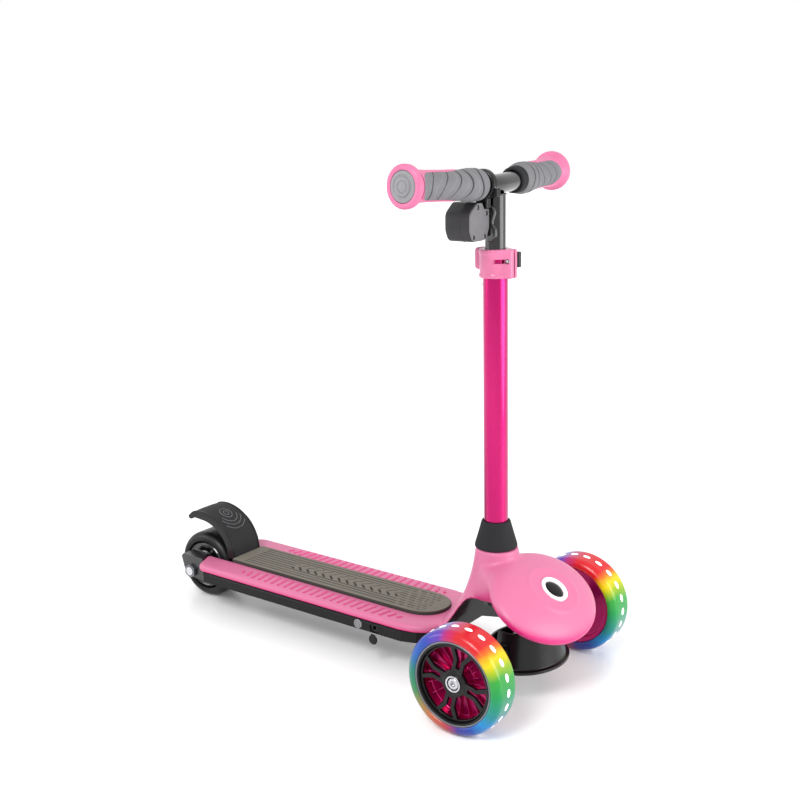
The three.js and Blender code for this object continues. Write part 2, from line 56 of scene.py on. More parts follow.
# ---- driving dimensions in millimetres, read from the frame where it holds them ----
MM = 0.001


def box_mm(node):
    """Lowest and highest corner of a CAD node, in millimetres."""
    low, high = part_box(node)
    return Vector(low) / MM, Vector(high) / MM


def middle_mm(node):
    low, high = box_mm(node)
    return (low + high) / 2


def half_height(node):
    low, high = box_mm(node)
    return (high.z - low.z) / 2


FRONT_WHEEL = middle_mm("front_tyre_left")
FRONT_RADIUS = half_height("front_tyre_left")
REAR_WHEEL = middle_mm("rear_tyre")
REAR_RADIUS = half_height("rear_tyre")
MAT_LOW, MAT_HIGH = box_mm("deck_mat")
MAT_TOP = MAT_HIGH.z
MAT_REAR = MAT_LOW.x
MAT_FRONT = MAT_HIGH.x
MAT_HALF = 31.0
MAT_GAP = 0.3
DECK_TOP = MAT_LOW.z - MAT_GAP
DECK_BOTTOM = 55.5
DECK_HALF = 64.5
DECK_WALL = 3.4
SLOT_HALF = 27.5  # the slot that the rear wheel runs in
SLOT_FRONT = -199.0

# The steerer leans back a little; its own frame has Z along the tube.
STEERER_FOOT = (193.7, 0, 0)
STEERER_LEAN = -0.022
STEERER = Matrix.Translation(STEERER_FOOT) @ Matrix.Rotation(STEERER_LEAN, 4, "Y")
TUBE_RADIUS = 14.0
INNER_TUBE_RADIUS = 11.7
TUBE_FOOT = 108.5
TUBE_TOP = 500.0
HEIGHT_STEP = 61.0
CLAMP_BOLT_X = 20.3
CLAMP_MIDDLE = 497.0
BAR_HEIGHT = 580.0
BAR_END = Vector((-14.1, 150.35, 6.4))
BAR_RADIUS = 11.0

# The neck stands on the deck round the steerer; the shield is pitched nose down in front of it.
NECK_X = 191.5
SHIELD_MIDDLE = (254.4, 0, 114.5)
SHIELD_PITCH = 0.59
SHIELD = Matrix.Translation(SHIELD_MIDDLE) @ Matrix.Rotation(SHIELD_PITCH, 4, "Y")
SHIELD_HALF = Vector((62.6, 82.7, 20.5))
SHIELD_FLOOR = -11.0
LAMP = SHIELD @ Matrix.Translation((4.2, 0, 0))

HINGE = Vector((-205, 0, 51.5))  # the fender's hinge pin
POD_Y = -37.0
POD_Z = 542.0
POD_FRONT = 3.5
POD_REAR = -29.5
ROUND = 96  # segments round a large turned piece


# ---- small sums that many pieces share ----
def full_turn(count):
    """Equal steps round a circle, in radians."""
    return [2 * math.pi * k / count for k in range(count)]


def limited(value):
    """The value, kept between 0 and 1."""
    return min(max(value, 0), 1)


def round_y(radius, y, angle):
    """A point at a radius and an angle from the Y axis; angle 0 is up."""
    return Vector((radius * math.sin(angle), y, radius * math.cos(angle)))


def to_axis(profile, near=0.01):
    """A profile whose points nearest the axis are put exactly on it."""
    return [(0 if radius < near else radius, y) for radius, y in profile]


# ---- shapes: a shape is a list of points in millimetres and a list of faces ----
def rounded(corners, radius, steps=4):
    """A closed outline with its corners rounded; a third number on a corner is its own radius."""
    points = []
    for i, corner in enumerate(corners):
        here = Vector(corner[:2])
        back = Vector(corners[i - 1][:2]) - here
        ahead = Vector(corners[(i + 1) % len(corners)][:2]) - here
        wanted = corner[2] if len(corner) > 2 else radius
        bend = back.angle(ahead)
        if wanted <= 0 or bend > 3.12:
            points.append(here)
            continue
        reach = min(wanted / math.tan(bend / 2), back.length * 0.48, ahead.length * 0.48)
        start = here + back.normalized() * reach
        end = here + ahead.normalized() * reach
        for step in range(steps + 1):
            t = step / steps
            points.append(start * (1 - t) ** 2 + here * 2 * t * (1 - t) + end * t ** 2)
    return points


def spline(points, steps=6, closed=False):
    """A smooth curve through 2-D or 3-D points."""
    given = [Vector(p) for p in points]
    count = len(given)
    spans = count if closed else count - 1
    curve = []
    for i in range(spans):
        if closed:
            a, b, c, d = (given[(i + k) % count] for k in (-1, 0, 1, 2))
        else:
            b, c = given[i], given[i + 1]
            a = given[i - 1] if i else b * 2 - c
            d = given[i + 2] if i + 2 < count else c * 2 - b
        for step in range(steps):
            t = step / steps
            near = b * 2 + (c - a) * t
            far = (a * 2 - b * 5 + c * 4 - d) * t ** 2 + (b * 3 - a - c * 3 + d) * t ** 3
            curve.append((near + far) / 2)
    if not closed:
        curve.append(given[-1])
    return curve


def merged(*shapes):
    points, faces = [], []
    for more_points, more_faces in shapes:
        base = len(points)
        points += more_points
        faces += [tuple(base + i for i in face) for face in more_faces]
    return points, faces


def moved(shape, matrix):
    return [matrix @ Vector(p) for p in shape[0]], shape[1]


def lathe(profile, segments=ROUND):
    """A body turned about Y from a closed outline of (radius, y)."""
    points, rings, faces = [], [], []
    for radius, y in profile:
        if radius < 1e-6:
            rings.append([len(points)] * segments)
            points.append(Vector((0, y, 0)))
            continue
        rings.append([len(points) + k for k in range(segments)])
        points += [round_y(radius, y, angle) for angle in full_turn(segments)]
    for i, ring in enumerate(rings):
        following = rings[(i + 1) % len(rings)]
        for k in range(segments):
            n = (k + 1) % segments
            corners = list(dict.fromkeys((ring[k], ring[n], following[n], following[k])))
            if len(corners) > 2:
                faces.append(tuple(corners))
    return points, faces


def upright(shape):
    """Turns a lathe shape from the Y axis to the Z axis."""
    return moved(shape, Matrix.Rotation(math.pi / 2, 4, "X"))


def loft(rings, caps=True):
    """A skin over rings of points that all have the same count."""
    count = len(rings[0])
    points = [Vector(p) for ring in rings for p in ring]
    faces = []
    for i in range(len(rings) - 1):
        for k in range(count):
            n = (k + 1) % count
            faces.append((i * count + k, i * count + n, (i + 1) * count + n, (i + 1) * count + k))
    if caps:
        faces.append(tuple(reversed(range(count))))
        faces.append(tuple(range(len(points) - count, len(points))))
    return points, faces


def tube(path, radius, sides=12):
    """A round bar along a path."""
    path = [Vector(p) for p in path]
    side = None
    rings = []
    for i, at in enumerate(path):
        along = (path[min(i + 1, len(path) - 1)] - path[max(i - 1, 0)]).normalized()
        side = (along.orthogonal() if side is None else side - along * side.dot(along)).normalized()
        other = along.cross(side)
        rings.append([at + (side * math.cos(a) + other * math.sin(a)) * radius for a in full_turn(sides)])
    return loft(rings)


def patch(outer, inner):
    """A closed plate between two grids of points of the same size."""
    rows, columns = len(outer), len(outer[0])
    points = [Vector(p) for grid in (outer, inner) for row in grid for p in row]
    half = rows * columns
    faces = []
    for r in range(rows - 1):
        for c in range(columns - 1):
            a = r * columns + c
            faces.append((a, a + 1, a + 1 + columns, a + columns))
            faces.append((half + a, half + a + columns, half + a + 1 + columns, half + a + 1))
    rim = list(range(columns))
    rim += [r * columns + columns - 1 for r in range(1, rows)]
    rim += [(rows - 1) * columns + c for c in range(columns - 2, -1, -1)]
    rim += [r * columns for r in range(rows - 2, 0, -1)]
    for i, a in enumerate(rim):
        b = rim[(i + 1) % len(rim)]
        faces.append((a, half + a, half + b, b))
    return points, faces


def flat_part(outlines, low, high, bevel=0.6, steps=2):
    """A flat part from low to high along Z, cut by outlines (the outside first) with rounded edges."""
    curve = bpy.data.curves.new("outline", "CURVE")
    curve.dimensions = "2D"
    curve.fill_mode = "BOTH"
    for number, points in enumerate(outlines):
        around = [Vector(p) for p in points]
        area = sum(a.x * b.y - b.x * a.y for a, b in zip(around, around[1:] + around[:1]))
        if (area > 0) == (number == 0):
            around.reverse()
        run = curve.splines.new("POLY")
        run.points.add(len(around) - 1)
        for target, point in zip(run.points, around):
            target.co = (point.x, point.y, 0, 1)
        run.use_cyclic_u = True
    curve.extrude = (high - low) / 2 - bevel
    curve.bevel_depth = bevel
    curve.bevel_resolution = steps
    curve.offset = -bevel
    holder = bpy.data.objects.new("outline", curve)
    bpy.context.scene.collection.objects.link(holder)
    mesh = bpy.data.meshes.new_from_object(holder.evaluated_get(bpy.context.evaluated_depsgraph_get()))
    lift = Vector((0, 0, (low + high) / 2))
    shape = [v.co + lift for v in mesh.vertices], [tuple(f.vertices) for f in mesh.polygons]
    bpy.data.objects.remove(holder)
    bpy.data.curves.remove(curve)
    bpy.data.meshes.remove(mesh)
    return shape


ALONG_X = Matrix(((0, 0, 1, 0), (1, 0, 0, 0), (0, 1, 0, 0), (0, 0, 0, 1)))  # (y, z) outlines
ALONG_Y = Matrix(((1, 0, 0, 0), (0, 0, -1, 0), (0, 1, 0, 0), (0, 0, 0, 1)))  # (x, z) outlines


def side_part(outlines, y0, y1, bevel=0.6, steps=2):
    """A flat part with (x, z) outlines, from y0 to y1."""
    return moved(flat_part(outlines, -y1, -y0, bevel, steps), ALONG_Y)


def front_part(outlines, x0, x1, bevel=0.6, steps=2):
    """A flat part with (y, z) outlines, from x0 to x1."""
    return moved(flat_part(outlines, x0, x1, bevel, steps), ALONG_X)


def circle(x, y, radius, count=32):
    return [(x + radius * math.cos(a), y + radius * math.sin(a)) for a in full_turn(count)]


def rounded_box(x0, x1, y0, y1, z0, z1, corner=1.0, bevel=0.6):
    outline = rounded([(x0, y0), (x1, y0), (x1, y1), (x0, y1)], corner)
    return flat_part([outline], z0, z1, bevel)


def mirrored(points):
    """The points, followed by their mirror images in the X axis."""
    return list(points) + [(p[0], -p[1], *p[2:]) for p in reversed(points)]


# ---- objects ----
def to_mesh(name, shape):
    mesh = bpy.data.meshes.new(name)
    mesh.from_pydata([Vector(p) * MM for p in shape[0]], [], shape[1])
    work = bmesh.new()
    work.from_mesh(mesh)
    bmesh.ops.remove_doubles(work, verts=work.verts, dist=2e-6)
    bmesh.ops.dissolve_degenerate(work, edges=work.edges, dist=1e-7)
    bmesh.ops.recalc_face_normals(work, faces=work.faces)
    work.to_mesh(mesh)
    work.free()
    return mesh


def baked(holder):
    """Applies a holder's modifiers and gives back the mesh."""
    bpy.context.view_layer.update()
    depsgraph = bpy.context.evaluated_depsgraph_get()
    return bpy.data.meshes.new_from_object(holder.evaluated_get(depsgraph))


def cut_mesh(name, shape, cutters, soften=None):
    """A shape with sharp cutters taken out of it; soften prepares the shape's own modifiers first."""
    holder = bpy.data.objects.new(name, to_mesh(name, shape))
    bpy.context.scene.collection.objects.link(holder)
    if soften:
        soften(holder)
    tools = []
    for cutter in cutters:
        tool = bpy.data.objects.new("cutter", to_mesh("cutter", cutter))
        bpy.context.scene.collection.objects.link(tool)
        cut = holder.modifiers.new("Cut", "BOOLEAN")
        cut.operation = "DIFFERENCE"
        cut.solver = "EXACT"
        cut.object = tool
        tools.append(tool)
    mesh = baked(holder)
    for used in [holder, *tools]:
        bpy.data.objects.remove(used)
    return mesh


def moulding(name, shape, voxel, smoothing, cutters=()):
    """One skin over overlapping shapes, its creases filled, then cut by sharp cutters."""
    def skin(holder):
        remesh = holder.modifiers.new("Skin", "REMESH")
        remesh.mode = "VOXEL"
        remesh.voxel_size = voxel * MM
        relax = holder.modifiers.new("Soften", "SMOOTH")
        relax.factor = 0.5
        relax.iterations = smoothing

    return cut_mesh(name, shape, cutters, skin)


def shape_of(mesh):
    """A mesh as a shape in millimetres, so that it can be merged with others."""
    return [v.co / MM for v in mesh.vertices], [tuple(f.vertices) for f in mesh.polygons]


def smooth_by_angle(mesh, degrees):
    mesh.shade_smooth()
    mesh.set_sharp_from_angle(angle=math.radians(degrees))


def piece(name, shape, finish, body, replaces=(), sharp=38, origin=None):
    """Makes a visible piece, with its finish, its body and the CAD nodes that it stands for."""
    mesh = shape if isinstance(shape, bpy.types.Mesh) else to_mesh(name, shape)
    smooth_by_angle(mesh, sharp)
    mesh.materials.clear()
    mesh.materials.append(finish)
    made = bpy.data.objects.new(name, mesh)
    bpy.context.scene.collection.objects.link(made)
    if origin is not None:
        place = Vector(origin) * MM
        mesh.transform(Matrix.Translation(-place))
        made.location = place
    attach(made, body)
    if replaces:
        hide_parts(*replaces)
    return made


def dress(node, finish, bevel):
    """Gives a CAD node that is shown its finish, and rounds its edges."""
    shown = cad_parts[node]
    mesh_slots = shown.material_slots
    if mesh_slots:
        mesh_slots[0].link = "OBJECT"
        mesh_slots[0].material = finish
    soft = shown.modifiers.new("Edges", "BEVEL")
    soft.width = bevel * MM
    soft.segments = 2
    soft.limit_method = "ANGLE"
    soft.angle_limit = math.radians(35)


# ---- finishes ----
def paint(red, green, blue):
    """A colour from its usual 0 to 255 numbers, as the shader's linear light."""
    def linear(level):
        level /= 255
        return level / 12.92 if level <= 0.04045 else ((level + 0.055) / 1.055) ** 2.4
    return linear(red), linear(green), linear(blue), 1.0


class Signal:
    """A shader socket that carries a number, with its arithmetic written as Python."""

    def __init__(self, finish, socket):
        self.finish = finish
        self.socket = socket

    def math(self, operation, *values):
        return self.finish.node("Math", {"operation": operation}, dict(enumerate(values)))

    def __add__(self, other):
        return self.math("ADD", self, other)

    def __radd__(self, other):
        return self.math("ADD", other, self)

    def __sub__(self, other):
        return self.math("SUBTRACT", self, other)

    def __rsub__(self, other):
        return self.math("SUBTRACT", other, self)

    def __mul__(self, other):
        return self.math("MULTIPLY", self, other)

    def __rmul__(self, other):
        return self.math("MULTIPLY", other, self)

    def __truediv__(self, other):
        return self.math("DIVIDE", self, other)

    def __rtruediv__(self, other):
        return self.math("DIVIDE", other, self)


class Finish:
    """A material with one Principled shader; constants sit on the shader's own sockets."""

    def __init__(self, name, **constants):
        self.material = bpy.data.materials.new(name)
        self.material.use_nodes = True
        self.tree = self.material.node_tree
        self.shader = self.tree.nodes["Principled BSDF"]
        for socket, value in constants.items():
            self.shader.inputs[socket.replace("_", " ").title().replace("Ior", "IOR")].default_value = value

    def node(self, kind, settings=None, inputs=None, output=0):
        """Any node: its type, its settings, and the values or links of its sockets."""
        made = self.tree.nodes.new("ShaderNode" + kind)
        for name, value in (settings or {}).items():
            if name == "stops":
                self.fill_ramp(made.color_ramp, value)
            else:
                setattr(made, name, value)
        for name, value in (inputs or {}).items():
            self.feed(made.inputs[name], value)
        return Signal(self, made.outputs[output])

    def feed(self, socket, value):
        if isinstance(value, Signal):
            self.tree.links.new(value.socket, socket)
        else:
            socket.default_value = value

    def fill_ramp(self, ramp, stops):
        while len(ramp.elements) < len(stops):
            ramp.elements.new(0.5)
        for element, (position, colour) in zip(ramp.elements, stops):
            element.position = position
            element.color = colour

    def place(self):
        """The piece's own coordinates, in metres."""
        return self.node("TexCoord", output="Object")

    def stretched(self, scale):
        """The piece's own coordinates, scaled on each axis."""
        return self.node("Mapping", {}, {"Vector": self.place(), "Scale": scale})

    def axis(self, name):
        return self.node("SeparateXYZ", {}, {"Vector": self.place()}, output=name)

    def noise(self, scale, detail=2.0, place=None):
        return self.node("TexNoise", {}, {"Vector": place or self.place(), "Scale": scale, "Detail": detail})

    def mix(self, factor, low, high):
        """A colour between two colours."""
        inputs = {0: factor, 6: low, 7: high}
        return self.node("Mix", {"data_type": "RGBA"}, inputs, output=2)

    def band(self, value, low, high):
        """0 below low and 1 above high, with a smooth rise between them."""
        settings = {"interpolation_type": "SMOOTHSTEP"}
        return self.node("MapRange", settings, {"Value": value, "From Min": low, "From Max": high})

    def bump(self, height, distance, strength=1.0):
        inputs = {"Height": height, "Distance": distance, "Strength": strength}
        self.feed(self.shader.inputs["Normal"], self.node("Bump", {}, inputs))

    def set(self, **links):
        for socket, value in links.items():
            self.feed(self.shader.inputs[socket.replace("_", " ").title()], value)
        return self.material


def shaded(colour, factor):
    return colour[0] * factor, colour[1] * factor, colour[2] * factor, 1.0


# The shell's underside colour deepens as painted shade, further still over the nose between these two marks.
NOSE_START = 0.205  # from here to NOSE_FULL the shell's underside deepens further, in metres
NOSE_FULL = 0.255


def shell_finish(name, colour):
    """Satin moulded plastic with shade painted into its colour: it turns deep pink where its surface faces
    down, and more so at the nose.
    """
    finish = Finish(name, coat_weight=0.12, coat_roughness=0.3, specular_ior_level=0.35)
    facing = finish.node("NewGeometry", output="Normal")
    under = finish.node("SeparateXYZ", {}, {"Vector": facing}, output="Z")
    nose = finish.band(finish.axis("X"), NOSE_START, NOSE_FULL)
    # painted shade: the colour is pushed toward deep pink where the surface faces down or lies in the nose
    shade = finish.band(nose * 0.4 - under, -0.2, 0.6) * 0.9
    cloud = finish.noise(14, 3)
    tone = finish.mix(cloud * 0.7, shaded(colour, 0.93), shaded(colour, 1.05))
    grain = finish.noise(2600, 2)
    finish.bump(grain, 0.00004, 0.5)
    # the deep pink of the painted shade on the underside
    underside_shade = paint(205, 4, 110)
    return finish.set(base_color=finish.mix(shade, tone, underside_shade), roughness=0.36 + cloud * 0.12)


def anodised_finish(colour):
    """Anodised tube, drawn lengthwise."""
    finish = Finish("pink_metal", metallic=0.95, coat_weight=0.35, coat_roughness=0.08)
    drawn = finish.noise(1.0, 3, finish.stretched((900, 900, 14)))
    tone = finish.mix(drawn, shaded(colour, 0.9), shaded(colour, 1.1))
    finish.bump(drawn, 0.00001, 0.25)
    return finish.set(base_color=tone, roughness=0.24 + drawn * 0.08)


def magnesium_finish(colour):
    """Tinted metallic rim."""
    finish = Finish("rim_metal", metallic=0.8, coat_weight=0.3, coat_roughness=0.1)
    speck = finish.noise(1800, 2)
    tone = finish.mix(speck, shaded(colour, 0.85), shaded(colour, 1.15))
    return finish.set(base_color=tone, roughness=0.26 + finish.noise(60, 2) * 0.1)


def plastic_finish(name, colour, roughness, grain=1500, depth=0.00006, coat=0.0):
    """Moulded plastic with a fine spark-eroded grain."""
    finish = Finish(name, coat_weight=coat, coat_roughness=0.2, specular_ior_level=0.22)
    cells = finish.node("TexVoronoi", {}, {"Vector": finish.place(), "Scale": grain})
    cloud = finish.noise(45, 3)
    finish.bump(cells * 0.6 + finish.noise(grain * 2, 2) * 0.4, depth, 0.6)
    tone = finish.mix(cloud, shaded(colour, 0.82), shaded(colour, 1.2))
    return finish.set(base_color=tone, roughness=roughness - 0.05 + cloud * 0.12)


def rubber_finish(name, colour, roughness=0.75):
    finish = Finish(name, specular_ior_level=0.35)
    grain = finish.noise(2200, 3)
    cloud = finish.noise(30, 3)
    finish.bump(grain, 0.00008, 0.5)
    tone = finish.mix(cloud, shaded(colour, 0.86), shaded(colour, 1.14))
    return finish.set(base_color=tone, roughness=roughness + cloud * 0.12)


def mat_finish(colour):
    """Mat rubber, with shade painted into its grooves."""
    finish = Finish("mat_rubber", specular_ior_level=0.35)
    # painted shade: the colour turns almost black below the top, in the grooves
    groove = 1 - finish.band(finish.axis("Z"), (MAT_TOP - 1.1) * MM, (MAT_TOP - 0.3) * MM)
    groove_shade_colour = shaded(colour, 0.16)
    grain = finish.noise(1900, 3)
    cloud = finish.noise(22, 3)
    tone = finish.mix(cloud, shaded(colour, 0.9), shaded(colour, 1.1))
    finish.bump(grain, 0.0001, 0.6)
    return finish.set(base_color=finish.mix(groove * 0.95, tone, groove_shade_colour), roughness=0.66 + cloud * 0.12)


def grip_finish(colour):
    """Grip rubber with shade painted almost black into its grooves and a highlight painted on its raised
    wave.
    """
    finish = Finish("grip_rubber", specular_ior_level=0.4)
    groove = finish.node("Attribute", {"attribute_name": "groove"}, output="Fac")
    ridge = finish.node("Attribute", {"attribute_name": "ridge"}, output="Fac")
    cloud = finish.noise(60, 3)
    tone = finish.mix(cloud, shaded(colour, 0.85), shaded(colour, 1.08))
    # painted highlight: a lighter copy of the rubber on the raised wave
    lit = finish.mix(ridge * 0.6, tone, shaded(colour, 1.45))
    finish.bump(finish.noise(2400, 3), 0.00008, 0.6)
    # painted shade: the grooves turn almost black
    return finish.set(base_color=finish.mix(groove, lit, paint(14, 13, 14)), roughness=0.58 + cloud * 0.12)


def painted_metal_finish(name, colour, roughness=0.22):
    """Powder-coated metal with a faint orange peel."""
    finish = Finish(name, metallic=0.35, coat_weight=0.6, coat_roughness=0.12)
    peel = finish.noise(420, 2)
    finish.bump(peel, 0.00003, 0.35)
    tone = finish.mix(peel, shaded(colour, 0.85), shaded(colour, 1.2))
    return finish.set(base_color=tone, roughness=roughness + peel * 0.06)


def bare_metal_finish(name, colour, roughness=0.2):
    """Turned or plated metal with fine marks."""
    finish = Finish(name, metallic=1.0)
    marks = finish.noise(1.0, 3, finish.stretched((1400, 160, 1400)))
    finish.bump(marks, 0.00001, 0.3)
    tone = finish.mix(marks, shaded(colour, 0.82), shaded(colour, 1.1))
    return finish.set(base_color=tone, roughness=roughness + marks * 0.14)


def glossy_finish(name, colour, roughness=0.12):
    """Polished plastic or glass, with faint wipe marks."""
    finish = Finish(name, coat_weight=0.8, coat_roughness=0.05)
    wipe = finish.noise(1.0, 3, finish.stretched((300, 60, 90)))
    tone = finish.mix(wipe, shaded(colour, 0.9), shaded(colour, 1.15))
    return finish.set(base_color=tone, roughness=roughness + wipe * 0.08)


def lens_finish():
    """Near-black lamp glass."""
    finish = Finish("lamp_lens", specular_ior_level=0.25)
    wipe = finish.noise(1.0, 3, finish.stretched((300, 60, 90)))
    tone = finish.mix(wipe, paint(2, 2, 3), paint(9, 8, 11))
    return finish.set(base_color=tone, roughness=0.05 + wipe * 0.05)


# Share of a turn, from the front over the top, and the colour there.
TYRE_COLOURS = [
    (0.0, (0, 166, 80)), (0.055, (50, 176, 60)), (0.085, (180, 205, 20)), (0.105, (255, 226, 0)),
    (0.13, (240, 120, 20)), (0.15, (232, 28, 36)), (0.235, (228, 26, 40)), (0.275, (200, 30, 120)),
    (0.305, (110, 60, 190)), (0.36, (28, 72, 190)), (0.43, (20, 100, 190)), (0.49, (20, 140, 120)),
    (0.56, (60, 150, 90)), (0.62, (170, 140, 80)), (0.67, (214, 110, 70)), (0.73, (200, 70, 80)),
    (0.78, (70, 60, 160)), (0.83, (20, 70, 180)), (0.885, (0, 150, 225)), (0.93, (0, 150, 150)),
    (1.0, (0, 166, 80)),
]


def lit_tyre_finish(glow):
    """Clear tyre resin, coloured by the lights inside it and changing round the wheel."""
    finish = Finish("lit_tyre", coat_weight=0.15, coat_roughness=0.1, specular_ior_level=0.3,
                    emission_strength=glow)
    turn = finish.node("Math", {"operation": "ARCTAN2"}, {0: finish.axis("Z"), 1: finish.axis("X")})
    swirl = (finish.noise(34, 2) - 0.5) * 0.05
    place = finish.node("Math", {"operation": "FRACT"}, {0: turn / (2 * math.pi) + 1.0 + swirl})
    stops = [(position, shaded(paint(*colour), 0.6)) for position, colour in TYRE_COLOURS]
    colour = finish.node("ValToRGB", {"stops": stops}, {"Fac": place})
    cloud = finish.noise(90, 3)
    tone = finish.mix(cloud * 0.1, colour, (1, 1, 1, 1))
    finish.bump(cloud, 0.0002, 0.3)
    return finish.set(base_color=colour, emission_color=tone, roughness=0.2 + cloud * 0.1)


def light_spot_finish(glow):
    """The bright spots where a diode sits under the tread."""
    finish = Finish("light_spot", emission_strength=glow, coat_weight=0.5)
    cloud = finish.noise(500, 2)
    tone = finish.mix(cloud, (1, 0.97, 0.92, 1), (0.92, 0.97, 1, 1))
    return finish.set(base_color=tone, emission_color=tone, roughness=0.2 + cloud * 0.1)


def board_finish():
    """Green circuit board with paler tracks."""
    finish = Finish("circuit")
    tracks = finish.node("TexBrick", {}, {"Vector": finish.place(), "Scale": 120.0}, output="Fac")
    tone = finish.mix(tracks, paint(30, 96, 52), paint(70, 132, 70))
    return finish.set(base_color=tone, roughness=0.4 + finish.noise(80) * 0.2)


def floor_finish(bright):
    """Pale glossy studio floor that brightens away from the middle, so that it has no visible edge."""
    finish = Finish("floor", specular_ior_level=0.5, emission_strength=bright)
    cloud = finish.noise(3, 2)
    tone = finish.mix(cloud, (0.86, 0.86, 0.865, 1), (0.89, 0.89, 0.89, 1))
    reach = finish.node("VectorMath", {"operation": "LENGTH"}, {0: finish.place()}, output="Value")
    far = finish.band(reach, 0.45, 1.6)
    glow = finish.mix(far, (0.1, 0.1, 0.1, 1), (1, 1, 1, 1))
    return finish.set(base_color=tone, emission_color=glow, roughness=0.22 + cloud * 0.04)


FINISHES = {}


def make_finishes(settings):
    """Every finish, made once and shared by the pieces."""
    shell = (*settings.shell_colour, 1.0)
    metal = (*settings.metal_colour, 1.0)
    FINISHES.update(
        shell=shell_finish("pink_shell", shell),
        # painted shade: the ribs take a darker, deeper pink copy of the shell's finish
        rib=shell_finish("pink_rib", paint(196, 72, 122)),
        disc=plastic_finish("disc_grey", paint(126, 126, 129), 0.42, 1700, 0.00003),
        edge=bare_metal_finish("rim_edge", paint(120, 122, 128), 0.32),
        clamp=plastic_finish("clamp_pink", shell, 0.26, 2000, 0.00002, coat=0.5),
        grip_pink=plastic_finish("grip_pink", shell, 0.42, 1800, 0.00004, coat=0.1),
        tube=anodised_finish(metal),
        rim=magnesium_finish(metal),
        mat=mat_finish(paint(104, 99, 90)),
        grip=grip_finish(paint(106, 106, 109)),
        black=plastic_finish("black_plastic", paint(15, 14, 15), 0.5),
        smooth_black=plastic_finish("smooth_black", paint(8, 8, 9), 0.32, 2400, 0.00002, coat=0.15),
        fender=plastic_finish("fender_black", paint(34, 34, 35), 0.6, 700, 0.00016),
        pod=plastic_finish("pod_grey", paint(48, 47, 50), 0.36, 1500, 0.00004),
        plate=plastic_finish("plate_grey", paint(102, 100, 103), 0.4, 1700, 0.00003),
        rubber=rubber_finish("dark_rubber", paint(22, 23, 26)),
        tyre=rubber_finish("dark_tyre", paint(10, 10, 11), 0.34),
        gloss=painted_metal_finish("black_metal", paint(12, 12, 13), 0.16),
        gloss_plastic=glossy_finish("gloss_black_plastic", paint(10, 9, 11), 0.18),
        frame=painted_metal_finish("frame_black", paint(20, 19, 21), 0.4),
        steel=bare_metal_finish("steel", paint(196, 196, 200)),
        dark_steel=bare_metal_finish("dark_steel", paint(96, 97, 102), 0.3),
        copper=bare_metal_finish("copper", paint(184, 108, 66), 0.3),
        white=glossy_finish("white_plastic", paint(246, 242, 244), 0.22),
        lens=lens_finish(),
        lit_tyre=lit_tyre_finish(settings.tyre_glow),
        light_spot=light_spot_finish(settings.spot_glow),
        wrap=plastic_finish("battery_wrap", paint(52, 70, 120), 0.35, 900, 0.00003),
        board=board_finish(),
    )


# ---- deck ----
def deck_outline(inset=0.0):
    """The deck from above, with the slot for the rear wheel."""
    side = DECK_HALF - inset
    slot = SLOT_HALF + inset
    half = [(SLOT_FRONT + inset, slot, 3), (-250 + inset, slot, 5), (-236 + inset, side - 4, 10),
            (-229, side, 8), (96, side, 30), (114, side - 3, 30), (128, side - 11, 24),
            (137, side - 24, 20), (142 - inset, 12, 12)]
    return rounded(mirrored(half), 6)


NECK_TOP_RADIUS = 24.9


def neck_profile(inset, foot, head):
    """The neck's outline: a trumpet that narrows from the deck to the collar."""
    stations = [(64, 66), (60, 70), (52, 80), (45.6, 91), (40, 101), (36.6, 109), (34, 117), (30, 131),
                (27.3, 145)]
    wall = [(radius - inset, z) for radius, z in spline(stations, 3)]
    return [(0, foot), (wall[0][0], foot), *wall, (NECK_TOP_RADIUS - inset, head), (0, head)]


def neck(inset, foot, head):
    body = upright(lathe(neck_profile(inset, foot, head), ROUND))
    return moved(body, Matrix.Translation((NECK_X, 0, 0)))


def ellipsoid(inset, floor):
    """The front shield: a flat ellipsoid pitched nose down, kept above its own floor."""
    half = SHIELD_HALF - Vector((inset, inset, inset))
    low = math.asin(max(floor / half.z, -1)) if floor is not None else -math.pi / 2
    profile = [(0, half.z * math.sin(low))] if floor is not None else []
    steps = 40
    for i in range(steps + 1):
        a = low + (math.pi / 2 - low) * i / steps
        profile.append((max(math.cos(a), 0) if i < steps else 0, half.z * math.sin(a)))
    body = upright(lathe(profile, ROUND))
    return moved(body, SHIELD @ Matrix.Diagonal((half.x, half.y, 1, 1)))


LAMP_CONTOUR = 31.0
LAMP_CONTOUR_HEIGHT = 0.9
LAMP_DISH = 20.0
LAMP_DISH_DEPTH = 0.8


def emboss_lamp_ring(mesh):
    """Raises the soft contour in the shield round the lamp, and dishes the shield inside it."""
    to_shield = SHIELD.inverted() @ Matrix.Scale(1 / MM, 4)
    back = to_shield.inverted()
    for vertex in mesh.vertices:
        at = to_shield @ vertex.co
        if at.z < 6 or abs(at.y) > 44:
            continue
        reach = math.hypot(at.x - 3, at.y / 1.12)
        ridge = math.exp(-((reach - LAMP_CONTOUR) / 2.6) ** 2)
        dish = 1 - limited((reach - LAMP_DISH) / 9)
        at.z += LAMP_CONTOUR_HEIGHT * ridge - LAMP_DISH_DEPTH * dish * (3 - 2 * dish) * dish
        vertex.co = back @ at


ARCH_TOP = 107.5
ROOT_REACH = 6.0  # how far forward the root takes in the shield
ROOT_HALF = 60.0


